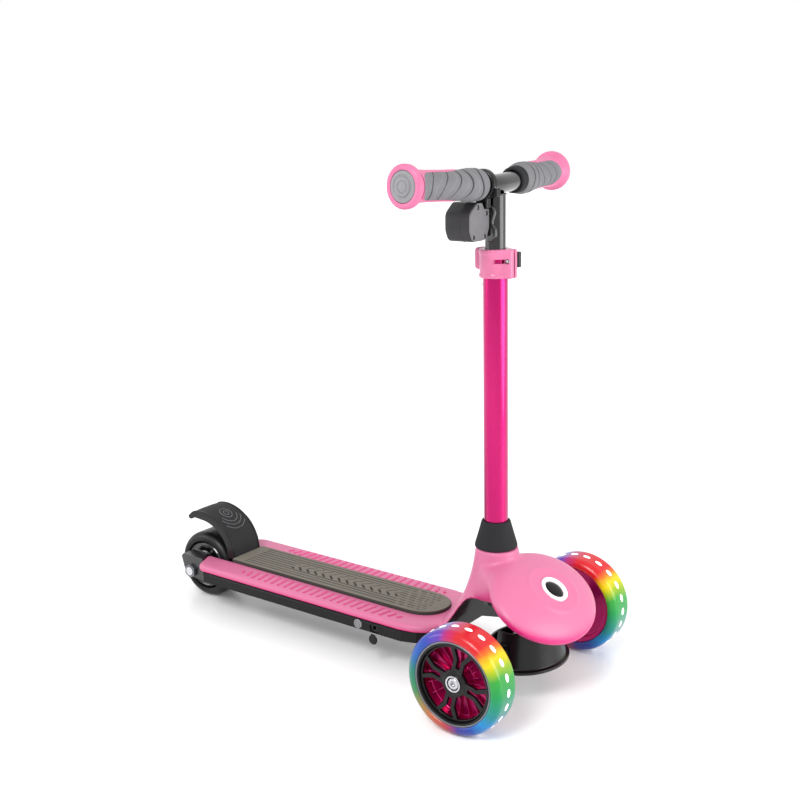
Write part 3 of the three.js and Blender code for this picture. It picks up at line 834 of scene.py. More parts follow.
def shield_root():
    """The body that carries the neck smoothly into the shield: a hull round parts of both."""
    points = []
    for radius, z in ((34.5, ARCH_TOP), (24.5, 147)):
        points += [Vector((NECK_X + x, y, z)) for x, y in circle(0, 0, radius, 64)]
    to_shield = SHIELD.inverted()
    for point in ellipsoid(1.2, -10.5)[0]:
        if (to_shield @ point).x < ROOT_REACH and abs(point.y) < ROOT_HALF:
            points.append(point)
    work = bmesh.new()
    corners = [work.verts.new(point * MM) for point in points]
    hull = bmesh.ops.convex_hull(work, input=corners)
    bmesh.ops.delete(work, geom=[v for v in hull["geom_interior"] if isinstance(v, bmesh.types.BMVert)])
    mesh = bpy.data.meshes.new("shield_root")
    work.to_mesh(mesh)
    work.free()
    return shape_of(mesh)


def rod(radius, low, high, segments):
    """A plain round bar along Y, for a hole, a bolt or a shank."""
    return lathe([(0, low), (radius, low), (radius, high), (0, high)], segments)


def build_deck_moulding(settings):
    """One skin over the deck, the neck and the shield, hollowed from below."""
    arch_outline = [(118, 20, 0), (118, 30, 0), (136, DECK_BOTTOM, 10), (147, 68, 20), (158, 88, 20),
                    (168, 101, 12), (179, 107, 8), (192, ARCH_TOP, 8), (330, ARCH_TOP, 0), (330, 20, 0)]
    arch = side_part([rounded(arch_outline, 4)], -110, 110, 0.2)
    trumpet = shape_of(cut_mesh("trumpet", neck(0, 62, 163.5), [arch]))
    slab = flat_part([deck_outline()], DECK_BOTTOM, DECK_TOP, 2.5, 3)
    outer = merged(slab, trumpet, shield_root(), ellipsoid(0, SHIELD_FLOOR))
    under = flat_part([deck_outline(3.2)], 30, DECK_TOP - DECK_WALL, 0.2)
    neck_room = neck(DECK_WALL, 40, 158)
    shield_room = ellipsoid(3.2, None)
    truck_room = rounded_box(194, 262, -36, 36, 40, 116, 6)
    tube_hole = moved(upright(rod(14.6, 110, 190, 48)), STEERER)
    lamp_seat = moved(upright(rod(17.2, 9, 40, 64)), LAMP)
    cutters = [under, neck_room, shield_room, truck_room, tube_hole, lamp_seat]
    mesh = moulding("deck_moulding", outer, settings.skin_voxel, 20, cutters)
    emboss_lamp_ring(mesh)
    piece("deck_moulding", mesh, FINISHES["shell"], "chassis", ["deck_shell"], 40)
    build_wing_ribs(settings)


RIBS_REAR = -168.0
RIBS_FRONT = 88.0
RIB_INNER = 38.0
RIB_OUTER = 57.5
RIB_LEAN = 4.0
RIB_RADIUS = 2.1
RIB_SUNK = 0.6


def build_wing_ribs(settings):
    """The raised ribs across both wings; their lean changes along the deck."""
    ribs = []
    pitch = (RIBS_FRONT - RIBS_REAR) / (settings.rib_count - 1)
    level = DECK_TOP - RIB_SUNK
    for side in (-1, 1):
        for number in range(settings.rib_count):
            x = RIBS_REAR + number * pitch
            ends = min(number, settings.rib_count - 1 - number)
            inner = RIB_INNER + max(0, 3 - ends) * 2.5
            outer = RIB_OUTER - max(0, 2 - ends) * 3
            start = Vector((x, side * inner, level))
            lean = RIB_LEAN - 2 * RIB_LEAN * number / (settings.rib_count - 1)
            end = Vector((x + lean, side * outer, level))
            path = [start.lerp(end, t / 8) for t in range(9)]
            ribs.append(tube(path, RIB_RADIUS, 14))
    # the ribs' darker pink finish is painted shade
    piece("wing_ribs", merged(*ribs), FINISHES["rib"], "chassis", sharp=50)


# ---- mat ----
LANE_PITCH = 6.2
GROOVE_DEPTH = 1.7
MAT_NOSE = 40.0
PANEL_REAR = -118
PANEL_FRONT = 52
PANEL_HALF = 11.5
CHEVRON_PITCH = 13.0
DASHES_FRONT = 84  # in front of it the dashes become dots


def mat_half(x):
    """Half the mat's width at x: it swells a little and closes in a round nose."""
    swell = MAT_HALF + 1.5 * limited((x - MAT_REAR) / 250)
    t = limited((x - (MAT_FRONT - MAT_NOSE)) / MAT_NOSE)
    return swell * math.sqrt(max(1 - t ** 2.4, 0.0))


def mat_height(x, y):
    """Height of the mat's top: ribs, chevrons in the middle, and dashes and dots at the front."""
    edge = mat_half(x) - abs(y)
    lane = round(y / LANE_PITCH - 0.5) + 0.5
    across = abs(abs(y / LANE_PITCH - math.floor(y / LANE_PITCH)) - 0.5) * LANE_PITCH
    wall = 1 - limited((across - (LANE_PITCH / 2 - 1.35)) / 0.5)
    off_lane = 1 - wall
    if abs(y) < PANEL_HALF and PANEL_REAR < x < PANEL_FRONT:
        slant = (x - abs(y) * 1.1 - PANEL_REAR) / CHEVRON_PITCH
        near = abs(slant - math.floor(slant) - 0.5) * CHEVRON_PITCH
        off_lane = 1 - limited((near - 1.5) / 0.6)
        off_lane *= limited((PANEL_HALF - abs(y) - 1.2) / 0.8) * limited((abs(y) - 0.6) / 0.8)
    elif x > PANEL_FRONT + 3:
        dash = (x + lane * 3.1) / (13.0 if x < DASHES_FRONT else 8.0)
        gap = abs(dash - math.floor(dash) - 0.5) * 2
        length = 0.62 if x < DASHES_FRONT else 0.42
        off_lane *= 1 - limited((gap - length) / 0.18)
        if x > DASHES_FRONT + 20 or abs(y) > mat_half(x) - 4:
            off_lane = 0.0
    elif x < MAT_REAR + 16:
        off_lane = 0.0
    groove = GROOVE_DEPTH * off_lane if edge > 3.4 else 0.0
    lip = GROOVE_DEPTH * max(0.0, 1 - edge / 1.8) ** 2
    return MAT_TOP - groove - lip


def build_mat(settings):
    """The mat's top as a fine grid, closed by a flat underside."""
    step = settings.mat_step
    rows = int((MAT_FRONT - MAT_REAR - 0.4) / step)
    columns = int(2 * MAT_HALF / step) // 2 * 2
    outer, inner = [], []
    for r in range(rows + 1):
        x = MAT_REAR + (MAT_FRONT - 0.4 - MAT_REAR) * r / rows
        half = max(mat_half(x), 1.0)
        line = [(x, half * (2 * c / columns - 1)) for c in range(columns + 1)]
        outer.append([Vector((x, y, mat_height(x, y))) for x, y in line])
        inner.append([Vector((x, y, DECK_TOP + 0.1)) for x, y in line])
    piece("mat", patch(outer, inner), FINISHES["mat"], "chassis", ["deck_mat"], 70)


# ---- base, covers, fork and side controls ----
def screw(head, socket, height):
    """A pan-head screw lying along +Y, with a recess."""
    dome = [(0, 0), (head, 0), (head, height * 0.45), (head * 0.86, height * 0.85), (socket, height)]
    rim = rounded([*dome, (socket, height * 0.4), (0, height * 0.4)], 0.15, 2)
    return lathe(to_axis(rim, 0.02), 24)


def turned_screw(at, toward, head=3.0, socket=1.3, height=1.6):
    """A screw at a point, with its head facing a direction."""
    turn = Vector((0, 1, 0)).rotation_difference(Vector(toward)).to_matrix().to_4x4()
    return moved(screw(head, socket, height), Matrix.Translation(at) @ turn)


def build_base():
    """The base tray, its cover and screws, the bead under the deck and the ribs below."""
    dress("chassis_base", FINISHES["black"], 0.9)
    dress("battery_cover", FINISHES["fender"], 0.5)
    dress("battery_pack", FINISHES["wrap"], 0.8)
    dress("controller_board", FINISHES["board"], 0.2)
    dress("rear_fork", FINISHES["frame"], 0.9)
    dress("charge_socket", FINISHES["smooth_black"], 0.3)
    low, high = box_mm("battery_cover")
    screws = []
    for x in (low.x + 7, middle_mm("battery_cover").x, high.x - 7):
        for y in (low.y + 6, high.y - 6):
            screws.append(turned_screw((x, y, low.z + 0.2), (0, 0, -1)))
    piece("cover_screws", merged(*screws), FINISHES["steel"], "chassis")
    low, high = box_mm("chassis_base")
    strip = []
    for side in (-1, 1):
        inside = side * (high.y - 0.6)
        strip.append(tube([(x, inside, DECK_BOTTOM - 2.2) for x in (-215, -120, -20, 60, 92)], 1.1, 10))
    piece("base_bead", merged(*strip), FINISHES["smooth_black"], "chassis")
    ribs = []
    for half, places in ((52, (92, 98, 104)), (44, (-176, -170, -164))):
        ribs += [rounded_box(x, x + 2.2, -half, half, low.z - 0.9, low.z + 0.6, 0.6, 0.4) for x in places]
    piece("base_ribs", merged(*ribs), FINISHES["black"], "chassis")


def build_side_controls():
    """The ringed power button and the rubber cap that hangs from its strap."""
    button = middle_mm("power_button")
    face = box_mm("power_button")[0].y
    cap = rounded([(0, 6.6), (5.8, 6.6), (5.8, 0.5), (5.0, 0), (4.2, 0), (3.7, 0.9), (3.1, 0.9), (2.7, 0.1),
                   (1.7, 0.1), (1.3, 0.8), (0, 0.8)], 0.3, 3)
    body = moved(lathe(to_axis(cap, 0.05), 48), Matrix.Translation((button.x, face, button.z)))
    piece("round_button", body, FINISHES["disc"], "power_switch", ["power_button"])
    low, high = box_mm("charge_cap")
    middle = (low.x + high.x) / 2
    disc = [(0, 0.0), (3.6, 0.0), (3.9, 0.35), (5.2, 0.35), (6, 0.9), (6, 2.0), (0, 2.0)]
    cap_body = moved(lathe(disc, 48), Matrix.Translation((middle, low.y, low.z + 6)))
    strap = rounded_box(middle - 2.5, middle + 2.5, low.y + 0.4, low.y + 1.6, low.z + 8, high.z, 0.5, 0.4)
    knob = tube([(middle + x, low.y + 1.0, high.z - 0.9) for x in (-2.6, 2.6)], 0.9, 12)
    piece("socket_cap_rubber", merged(cap_body, strap, knob), FINISHES["rubber"], "socket_cap",
          ["charge_cap"])


# ---- steering head, lamp and truck ----
def build_head():
    """The head casting, the kingpin with its rubber, and the cone over the neck."""
    dress("head_casting", FINISHES["frame"], 0.8)
    dress("kingpin", FINISHES["steel"], 0.3)
    dress("kingpin_nut", FINISHES["steel"], 0.4)
    dress("centering_bushing", FINISHES["rubber"], 0.4)
    dress("axle_beam", FINISHES["frame"], 0.6)
    cone = rounded([(TUBE_RADIUS + 0.4, 164.4, 0), (24.9, 164.4, 0.6), (24.6, 167.5, 1.2), (20.6, 181, 14),
                    (17.2, 193.5, 3), (16.4, 195.6, 0.8), (TUBE_RADIUS + 0.4, 195.6, 0.3)], 1)
    collar = moved(upright(lathe(cone)), STEERER)
    piece("collar_cone", collar, FINISHES["rubber"], "chassis", ["neck_collar"])


def build_lamp():
    """The white ring in the shield and the domed glass inside it."""
    bezel = rounded([(11.9, 18.6, 0.4), (12.6, 20.4, 0.8), (15.4, 21.7, 2.0), (17.0, 20.6, 1.6),
                     (17.0, 12, 0), (11.9, 12, 0)], 1, 6)
    body = moved(upright(lathe(bezel)), LAMP)
    piece("lamp_ring", body, FINISHES["white"], "chassis", ["headlight_ring"], 50)
    dome = [(0, 14.4), (11.7, 14.4), (11.7, 18.5)]
    dome += [(11.7 * math.cos(a), 18.5 + 2.2 * math.sin(a)) for a in (0.25, 0.5, 0.75, 1.0, 1.25, 1.45)]
    dome.append((0, 20.7))
    glass = moved(upright(lathe(dome)), LAMP)
    piece("lamp_glass", glass, FINISHES["lens"], "chassis", ["headlight_lens"], 50)


def build_truck():
    """The oval housing round the kingpin, and the sleeves over the axle."""
    wall = rounded([(0, 36, 0), (46, 36, 2), (49.2, 37.6, 1.2), (49.2, 40.6, 1.2), (45.2, 42, 2),
                    (43.2, 60, 6), (42.2, 84, 1), (39.6, 84, 1), (40.6, 60, 4), (40.8, 38.8, 2),
                    (0, 38.8, 0)], 1)
    oval = Matrix.Translation((234, 0, 0)) @ Matrix.Diagonal((0.96, 1.18, 1, 1))
    bowl = moved(upright(lathe(to_axis(wall))), oval)
    notch = side_part([[(150, 58), (200, 58), (222, 64), (226, 100), (150, 100)]], -70, 70, 0.2)
    slot_half = 9.5
    beam_way = rounded_box(FRONT_WHEEL.x - slot_half, FRONT_WHEEL.x + slot_half, -80, 80, 50.5, 69.5, 2)
    mesh = cut_mesh("truck_bowl", bowl, [notch, beam_way])
    piece("truck_bowl", mesh, FINISHES["smooth_black"], "truck", ["truck_housing"], 35)
    sleeves = []
    for side in (-1, 1):
        profile = rounded([(7.4, 52, 0), (10.6, 52, 1), (9.6, 70, 2), (9.0, 100, 1), (7.4, 100, 0)], 1)
        sleeve = lathe([(r, side * y) for r, y in profile], 48)
        sleeves.append(moved(sleeve, Matrix.Translation((FRONT_WHEEL.x, 0, FRONT_WHEEL.z))))
    piece("axle_sleeves", merged(*sleeves), FINISHES["smooth_black"], "truck")


# ---- wheels ----
def tyre_outline(inner, outer, half, radial, axial, steps=14):
    """A tyre's section: flat tread, with shoulders rounded over radial by axial."""
    side = []
    for i in range(steps + 1):
        a = i / steps * math.pi / 2
        side.append((outer - radial * (1 - math.sin(a)), half - axial * (1 - math.cos(a))))
    start = [(inner, half - 3), (inner + 0.6, half - 1.0)]
    return mirrored(start + side)


FIRST_SPOKE = math.radians(76.5)


def spoke_outlines():
    """The cover's round edge, its hub hole, and the window and channel of each of its four spokes."""
    rim, hub = 41.0, 15.5
    outlines = [circle(0, 0, 43.1, 120), circle(0, 0, 7.6, 48)]

    def turned_by(points, turn):
        return [(u * math.cos(turn) - v * math.sin(turn), u * math.sin(turn) + v * math.cos(turn), *more)
                for u, v, *more in points]

    def arc(radius, start, end, count=14):
        return [(radius * math.cos(a), radius * math.sin(a), 0)
                for a in (start + (end - start) * i / count for i in range(count + 1))]

    for spoke in range(4):
        turn = FIRST_SPOKE + spoke * math.pi / 2
        rim_start = math.asin(14.2 / rim)
        hub_start = math.asin(7 / hub)
        window = [(27, 7, 3), *arc(rim, rim_start, math.pi / 2 - rim_start), (7, 27, 3),
                  *arc(hub, math.pi / 2 - hub_start, hub_start)]
        fork = math.asin(9 / rim)
        channel = [(18, -2.6, 1.6), (29, -2.6, 3), *arc(rim, -fork, fork, 8), (29, 2.6, 3), (18, 2.6, 1.6)]
        for hole in (window, channel):
            outlines.append(rounded(turned_by(hole, turn), 1.2, 4))
    return outlines


FIN_COUNT = 20
FIN_HALF = 0.55
SPOT_LENGTH = 5.0
SPOT_WIDTH = 2.9


def rim_shape():
    """The metal rim: barrel, recessed web and hub, with thin fins in the recess."""
    barrel = rounded([(15, -14, 1), (15, -6, 2), (43, -6, 2), (43, -17, 0.6), (47.8, -17.6, 0.6),
                      (47.8, 17.6, 0.6), (45.6, 18.4, 0.8), (43.9, 16.6, 0.8), (43.6, -2, 2.5),
                      (15, -2, 2.5), (14.6, 10, 0.6), (11.3, 10, 0.3), (11.3, -14, 0.3)], 1)
    fins = []
    fin = rounded([(14, -3), (44.2, -3), (44.2, 6), (38, 2.6), (24, 1.2), (14, 4)], 1.5)
    for angle in full_turn(FIN_COUNT):
        blade = flat_part([fin], -FIN_HALF, FIN_HALF, 0.3, 1)
        fins.append(moved(blade, Matrix.Rotation(angle, 4, "Y")))
    return merged(lathe(barrel), *fins)


def wheel_frame(side):
    """A front wheel's own frame, whose Y points away from the scooter."""
    middle = Matrix.Translation((FRONT_WHEEL.x, side * abs(FRONT_WHEEL.y), FRONT_WHEEL.z))
    return middle @ Matrix.Diagonal((1, side, 1, 1))


def light_spots(settings):
    """Low oval lenses round the tread, one over each diode, each curved as the tread is."""
    rings = []
    for reach, height in ((1.0, -0.9), (1.0, -0.3), (0.92, 0.08), (0.7, 0.32), (0.35, 0.45)):
        ring = []
        for a in full_turn(20):
            x = SPOT_LENGTH * reach * math.cos(a)
            y = SPOT_WIDTH * reach * math.sin(a)
            ring.append(Vector((x, y, FRONT_RADIUS + height - x ** 2 / (2 * FRONT_RADIUS))))
        rings.append(ring)
    spots = []
    for k in range(settings.spot_count):
        turn = Matrix.Rotation(2 * math.pi * (k + 0.5) / settings.spot_count, 4, "Y")
        spots.append(moved(loft(rings), turn))
    return merged(*spots)


def build_front_wheels(settings):
    """Both front wheels, from the lit tyre in to the hub's washer and bolt."""
    for side, name in ((1, "left"), (-1, "right")):
        place = wheel_frame(side)
        wheel = "front_wheel_" + name

        def part(kind, shape, finish, body, slot, stands_for=None, sharp=50):
            replaces = [stands_for + name] if stands_for else ()
            piece(kind + name, moved(shape, place), FINISHES[finish], body, replaces, sharp,
                  place.translation)

        tyre = lathe(tyre_outline(48.1, FRONT_RADIUS, 20, 9, 9), 128)
        part("tyre_", tyre, "lit_tyre", wheel, "lit_tyre", "front_tyre_", 60)
        part("tyre_lights_", light_spots(settings), "light_spot", wheel, "white_plastic", sharp=60)
        edge = rounded([(46.0, 16.4), (48.3, 16.4), (48.6, 18.6), (47.4, 19.3), (46.1, 18.6)], 0.7)
        part("rim_edge_", lathe(edge, 128), "edge", wheel, "steel")
        part("rim_core_", rim_shape(), "rim", wheel, "pink_metal", "rim_", 35)
        ring = rounded([(7.4, 15.4), (9.4, 15.4), (9.3, 17.7), (7.5, 17.4)], 0.5)
        part("hub_ring_", lathe(ring, 64), "steel", wheel, "steel")
        spokes = side_part(spoke_outlines(), 10.8, 15.4, 0.9, 3)
        hub = rounded([(7.6, 11, 0), (15.8, 11, 0), (15.0, 15.6, 1.2), (12.0, 16.8, 0.8),
                       (10.8, 16.0, 0.6), (7.6, 16.0, 0.4)], 1)
        lip = rounded([(42.2, 12, 0), (43.2, 16.4, 0.4), (44.2, 19.0, 0.6), (46.0, 19.2, 0.5),
                       (46.4, 17.2, 0.3), (45.4, 15.6, 0.2), (43.1, 12, 0)], 0.4)
        cover = merged(spokes, lathe(hub), lathe(lip, 128))
        part("spoked_cover_", cover, "smooth_black", wheel, "black_plastic", "spoke_cover_", 35)
        for bearing in ("outer_bearing_", "inner_bearing_"):
            dress(bearing + name, FINISHES["dark_steel"], 0.3)
        washer = rounded([(4.2, 10.1), (7.2, 10.1), (7.2, 11.5), (4.2, 11.5)], 0.3)
        part("hub_washer_", lathe(washer, 64), "steel", "truck", "steel", "wheel_washer_", 40)
        bolt = rounded([(0, -38, 0), (4, -38, 0.6), (4, 11.8, 0), (6.5, 11.8, 0.3), (6.5, 16.2, 0.6),
                        (5.9, 16.9, 0.3), (3.4, 16.9, 0.2), (3.0, 13.6, 0), (0, 13.6, 0)], 0.3)
        part("hub_bolt_", lathe(to_axis(bolt), 48), "steel", "truck", "steel", "wheel_bolt_", 40)


def build_rear_wheel():
    """The solid tyre with its side rings, the motor's shell and screws, and the axle."""
    place = Matrix.Translation(REAR_WHEEL)
    tyre = moved(lathe(tyre_outline(33, REAR_RADIUS, 22, 8, 10), 128), place)
    piece("solid_tyre", tyre, FINISHES["tyre"], "rear_wheel", ["rear_tyre"], 50, REAR_WHEEL)
    rings = []
    for side in (-1, 1):
        for radius in (35.2, 37.6):
            ring = rounded([(radius - 0.6, 21.4), (radius + 0.6, 21.4), (radius + 0.5, 22.5),
                            (radius - 0.5, 22.5)], 0.3)
            rings.append(lathe([(r, side * y) for r, y in ring], 96))
    piece("tyre_rings", moved(merged(*rings), place), FINISHES["tyre"], "rear_wheel", (), 50,
          REAR_WHEEL)
    shell = rounded([(13.1, -21, 0.4), (18, -21.6, 1), (20, -20.2, 1), (28, -20.2, 1), (30, -21.4, 1),
                     (32.7, -18.5, 1.2), (32.7, 18.5, 1.2), (30, 21.4, 1), (28, 20.2, 1), (20, 20.2, 1),
                     (18, 21.6, 1), (13.1, 21, 0.4), (13.1, 15, 0), (29, 15, 1), (29, -15, 1),
                     (13.1, -15, 0)], 0.6)
    piece("hub_motor_shell", moved(lathe(shell), place), FINISHES["gloss"], "rear_wheel",
          ["motor_hub_shell"], 35, REAR_WHEEL)
    bolts = []
    for side in (-1, 1):
        for angle in full_turn(6):
            at = REAR_WHEEL + Vector((24 * math.cos(angle), side * 20.0, 24 * math.sin(angle)))
            bolts.append(turned_screw(at, (0, side, 0), 2.3, 1.1, 1.5))
    piece("hub_screws", merged(*bolts), FINISHES["dark_steel"], "rear_wheel", (), 40, REAR_WHEEL)
    dress("motor_stator", FINISHES["copper"], 0.4)
    for side, name in ((1, "left"), (-1, "right")):
        dress("rear_bearing_" + name, FINISHES["dark_steel"], 0.3)
        dress("axle_nut_" + name, FINISHES["edge"], 0.5)
    dress("rear_axle", FINISHES["steel"], 0.4)


# ---- fender ----
# The line along the fender's top, as (x, z), from the hinge to the rear lip.
CROWN = [(-203.5, 68), (-207.5, 86), (-219, 104), (-238, 117), (-258, 122.5), (-276, 121), (-286, 114)]
FENDER_HALF = 25.4
FENDER_SKIRT = 11.0
FENDER_SKIN = 3.4
FENDER_CROWN = 0.9  # how much higher the fender's middle is than its sides
LIP_RADIUS = 3.1
RINGS_MIDDLE = 66  # along the crown from its front end


def crown_frames(steps):
    """Points along the fender's crown with the direction that looks outward from the wheel."""
    curve = spline(CROWN, steps)
    frames = []
    for i, at in enumerate(curve):
        along = (curve[min(i + 1, len(curve) - 1)] - curve[max(i - 1, 0)]).normalized()
        frames.append((Vector((at.x, 0, at.y)), Vector((along.y, 0, -along.x)), i / (len(curve) - 1)))
    return frames


def fender_depth(t):
    """How far the side walls reach inward along the fender, as a share of their full depth."""
    return 1 - 0.45 * max(0.0, (t - 0.72) / 0.28)


def crown_rings(frames, length):
    """Thin raised lines on the fender: two rings and, toward the deck, three arcs."""
    def on_crown(run, y):
        i = min(sum(reach < run for reach in length), len(length) - 1)
        at, out, _ = frames[i]
        return at + out * (-FENDER_CROWN * (y / FENDER_HALF) ** 2 + 0.12) + Vector((0, y, 0))

    lines = []
    for radius, half_turn in ((4.2, 180), (9.6, 180), (17, 68), (23, 62), (29, 46)):
        turns = [math.radians(half_turn * k / 24) for k in range(-24, 25)]
        path = [on_crown(RINGS_MIDDLE - radius * math.cos(a), radius * 0.86 * math.sin(a))
                for a in turns]
        lines.append(tube(path, 0.45, 8))
    return merged(*lines)


def fender_walls(frames):
    """The smooth side walls that frame the fender's rough top."""
    walls = []
    outside = FENDER_HALF + 0.35
    low = -FENDER_SKIRT - 0.3
    outline = rounded([(FENDER_HALF - 2.4, 0.0), (outside, 0.0), (outside, low), (FENDER_HALF - 3.6, low)],
                      0.9, 4)
    for side in (-1, 1):
        rings = []
        for at, out, t in frames:
            rings.append([at + out * p.y * fender_depth(t) + Vector((0, side * p.x, 0)) for p in outline])
        walls.append(loft(rings))
    return merged(*walls)


def build_fender():
    """The fender's shell, its walls and lines, and the web and knuckle that hinge it."""
    frames = crown_frames(22)
    length = [0.0]
    for (a, _, _), (b, _, _) in zip(frames, frames[1:]):
        length.append(length[-1] + (b - a).length)
    half, skirt, skin = FENDER_HALF, FENDER_SKIRT, FENDER_SKIN
    section = rounded([(-half, -skirt, 0), (-half, 0, 2.5), (half, 0, 2.5), (half, -skirt, 0),
                       (half - skin + 0.4, -skirt, 0), (half - skin, -skin, 2.5), (-half + skin, -skin, 2.5),
                       (-half + skin - 0.4, -skirt, 0)], 0, 5)
    dense = []
    for a, b in zip(section, section[1:] + section[:1]):
        parts = max(1, int((b - a).length / 2))
        dense += [a.lerp(b, k / parts) for k in range(parts)]
    rings = []
    for at, out, t in frames:
        ring = []
        for p in dense:
            sag = FENDER_CROWN * (p.x / half) ** 2 if p.y > -1.2 else FENDER_CROWN
            ring.append(at + out * (p.y * fender_depth(t) - sag) + Vector((0, p.x, 0)))
        rings.append(ring)
    shell = loft(rings)
    lip_at, lip_out, _ = frames[-1]
    lip_middle = lip_at - lip_out * LIP_RADIUS
    lip = tube([lip_middle + Vector((0, y, 0)) for y in range(-25, 26, 2)], LIP_RADIUS, 24)
    web_outline = rounded([(-209.4, 46), (-209.4, 74), (-203, 74), (-201, 52), (-203, 46)], 1.5)
    web = side_part([web_outline], -25, 25, 0.6)
    barrel = rounded([(2.9, -25.2), (5.6, -25.2), (5.6, 25.2), (2.9, 25.2)], 0.6)
    knuckle = moved(lathe(barrel, 48), Matrix.Translation(HINGE))
    room = moved(rod(7.2, -9.5, 9.5, 48), Matrix.Translation(HINGE))
    hinge_part = cut_mesh("fender_hinge", merged(web, knuckle), [room])
    piece("brake_fender", shell, FINISHES["fender"], "fender_brake", ["fender"], 50)
    walls = merged(fender_walls(frames), lip)
    piece("fender_walls", walls, FINISHES["smooth_black"], "fender_brake", (), 50)
    # painted highlight: the raised lines take the lighter grey plate finish
    lines = crown_rings(frames, length)
    piece("fender_lines_highlight", lines, FINISHES["plate"], "fender_brake", (), 50)
    piece("fender_hinge", hinge_part, FINISHES["black"], "fender_brake", (), 40)
    dress("fender_hinge_pin", FINISHES["steel"], 0.3)
    dress("fender_spring", FINISHES["dark_steel"], 0.2)


# ---- steerer, height clamp and its lever ----
def onto_steerer(mesh):
    """Moves a mesh that was made upright at the origin onto the leaning steerer."""
    mesh.transform(Matrix.Scale(MM, 4) @ STEERER @ Matrix.Scale(1 / MM, 4))
    return mesh


def build_tubes():
    """The outer tube with the height button's hole, and the inner tube with one for each height."""
    outer = rounded([(12.4, TUBE_FOOT, 0), (TUBE_RADIUS, TUBE_FOOT, 0.4), (TUBE_RADIUS, TUBE_TOP, 0.8),
                     (12.4, TUBE_TOP, 0.4)], 0.4)
    body = moved(upright(lathe(outer)), STEERER)
    hole_place = STEERER @ Matrix.Translation((0, 0, middle_mm("height_button").z + 0.3))
    hole = moved(upright(rod(3.4, -30, 0, 40)), Matrix.Rotation(math.pi / 2, 4, "Y"))
    mesh = cut_mesh("steerer_tube", body, [moved(hole, hole_place)])
    piece("steerer_tube", mesh, FINISHES["tube"], "chassis", ["steerer_outer_tube"], 40)
    top = BAR_HEIGHT - BAR_RADIUS - 0.4
    inner = rounded([(10.2, 330, 0), (INNER_TUBE_RADIUS, 330, 0.4), (INNER_TUBE_RADIUS, top, 0.2),
                     (10.2, top, 0)], 0.3)
    detents = [moved(hole, hole_place @ Matrix.Translation((0, 0, -HEIGHT_STEP * k))) for k in range(3)]
    slider = cut_mesh("inner_tube", moved(upright(lathe(inner)), STEERER), detents)
    piece("inner_tube", slider, FINISHES["gloss"], "handlebar", ["steerer_inner_tube"], 40)
    dress("height_button", FINISHES["steel"], 0.2)


def collar_outline(radius, nose, half):
    """The clamp from above: a circle with a blunt nose that holds the bolt."""
    start = math.asin((half + 2.5) / radius)
    count = 48
    turns = [start + (2 * math.pi - 2 * start) * k / count for k in range(count + 1)]
    back = [(radius * math.cos(a), radius * math.sin(a), 0) for a in turns]
    return [(nose, -half, 3), (nose, half, 3), *back]


def build_clamp():
    """The split collar with its bore, its window and the bolt that pulls it shut."""
    place = Matrix.Translation((CLAMP_BOLT_X, 0, CLAMP_MIDDLE))
    band = flat_part([rounded(collar_outline(17.9, 24.6, 7.0), 1)], 479, 509, 2.6, 4)
    flange = rounded(collar_outline(18.6, 24.6, 7.0), 1)
    lip = flat_part([flange], 504, 510, 1.6, 4)
    foot = flat_part([flange], 478, 483, 1.6, 4)
    boss = rounded_box(-24, -13.6, -8, 8, 486, 511, 6, 4)
    bore = upright(lathe([(0, 470), (14.2, 470), (14.2, 500.6), (12.1, 501.4), (12.1, 520), (0, 520)]))
    split = rounded_box(5, 40, -1.4, 1.4, 470, 520, 0.2, 0.1)
    bolt_way = moved(rod(2.9, -20, 20, 40), place)
    window = rounded_box(7, 22.6, -24, -4.0, 494.6, 499.4, 1, 0.8)
    collar = merged(band, lip, foot, boss)
    mesh = moulding("height_collar", collar, 0.5, 10, [bore, split, bolt_way, window])
    piece("height_collar", onto_steerer(mesh), FINISHES["clamp"], "chassis",
          ["height_clamp"], 50)
    facing_right = Matrix.Translation((-2, -4.6, 0)) @ Matrix.Rotation(math.pi, 4, "Z")
    head = moved(screw(2.3, 1.1, 1.6), place @ facing_right)
    shank = moved(rod(2.3, -4.8, 7.5, 32), place)
    bolt = moved(merged(head, shank), STEERER)
    piece("collar_bolt", bolt, FINISHES["steel"], "chassis", ["clamp_bolt"])
    build_clamp_lever()


def build_clamp_lever():
    """The cam and the curved handle that hugs the clamp."""
    cam = rounded([(0, 489, 0), (4.6, 489, 0.8), (4.6, 506, 0.8), (0, 506, 0)], 0.8)
    hub = moved(upright(lathe(cam, 48)), Matrix.Translation((CLAMP_BOLT_X, 12.6, 0)))
    rings = []
    steps = 30
    for i in range(steps + 1):
        t = i / steps
        angle = math.radians(30 + 112 * t)
        tip = min(1, (1 - t) * 9 + 0.05) ** 0.5
        thick = (1.7 + 0.5 * math.sin(math.pi * t)) * tip
        height = (6.9 + 0.9 * math.sin(math.pi * t)) * tip
        corners = [(-thick, -height), (thick, -height), (thick, height), (-thick, height)]
        ring = []
        for p in rounded(corners, thick * 0.9, 4):
            radius = 26.4 - 5.0 * min(1, t * 1.6) + p.x
            level = CLAMP_MIDDLE + 0.5 + p.y
            ring.append(Vector((radius * math.cos(angle), radius * math.sin(angle), level)))
        rings.append(ring)
    handle = loft(rings)
    body = moved(merged(hub, handle), STEERER)
    piece("quick_release_lever", body, FINISHES["smooth_black"], "quick_lever",
          ["clamp_lever"], 45)


# ---- handlebar and grips ----
def leg_frame(side):
    """The frame of one side of the handlebar, whose Y points along it to its end."""
    leftward = Vector((BAR_END.x * side, BAR_END.y, BAR_END.z * side)).normalized()
    turn = Vector((0, 1, 0)).rotation_difference(leftward).to_matrix().to_4x4()
    return STEERER @ Matrix.Translation((0, 0, BAR_HEIGHT)) @ turn @ Matrix.Diagonal((1, side, 1, 1))


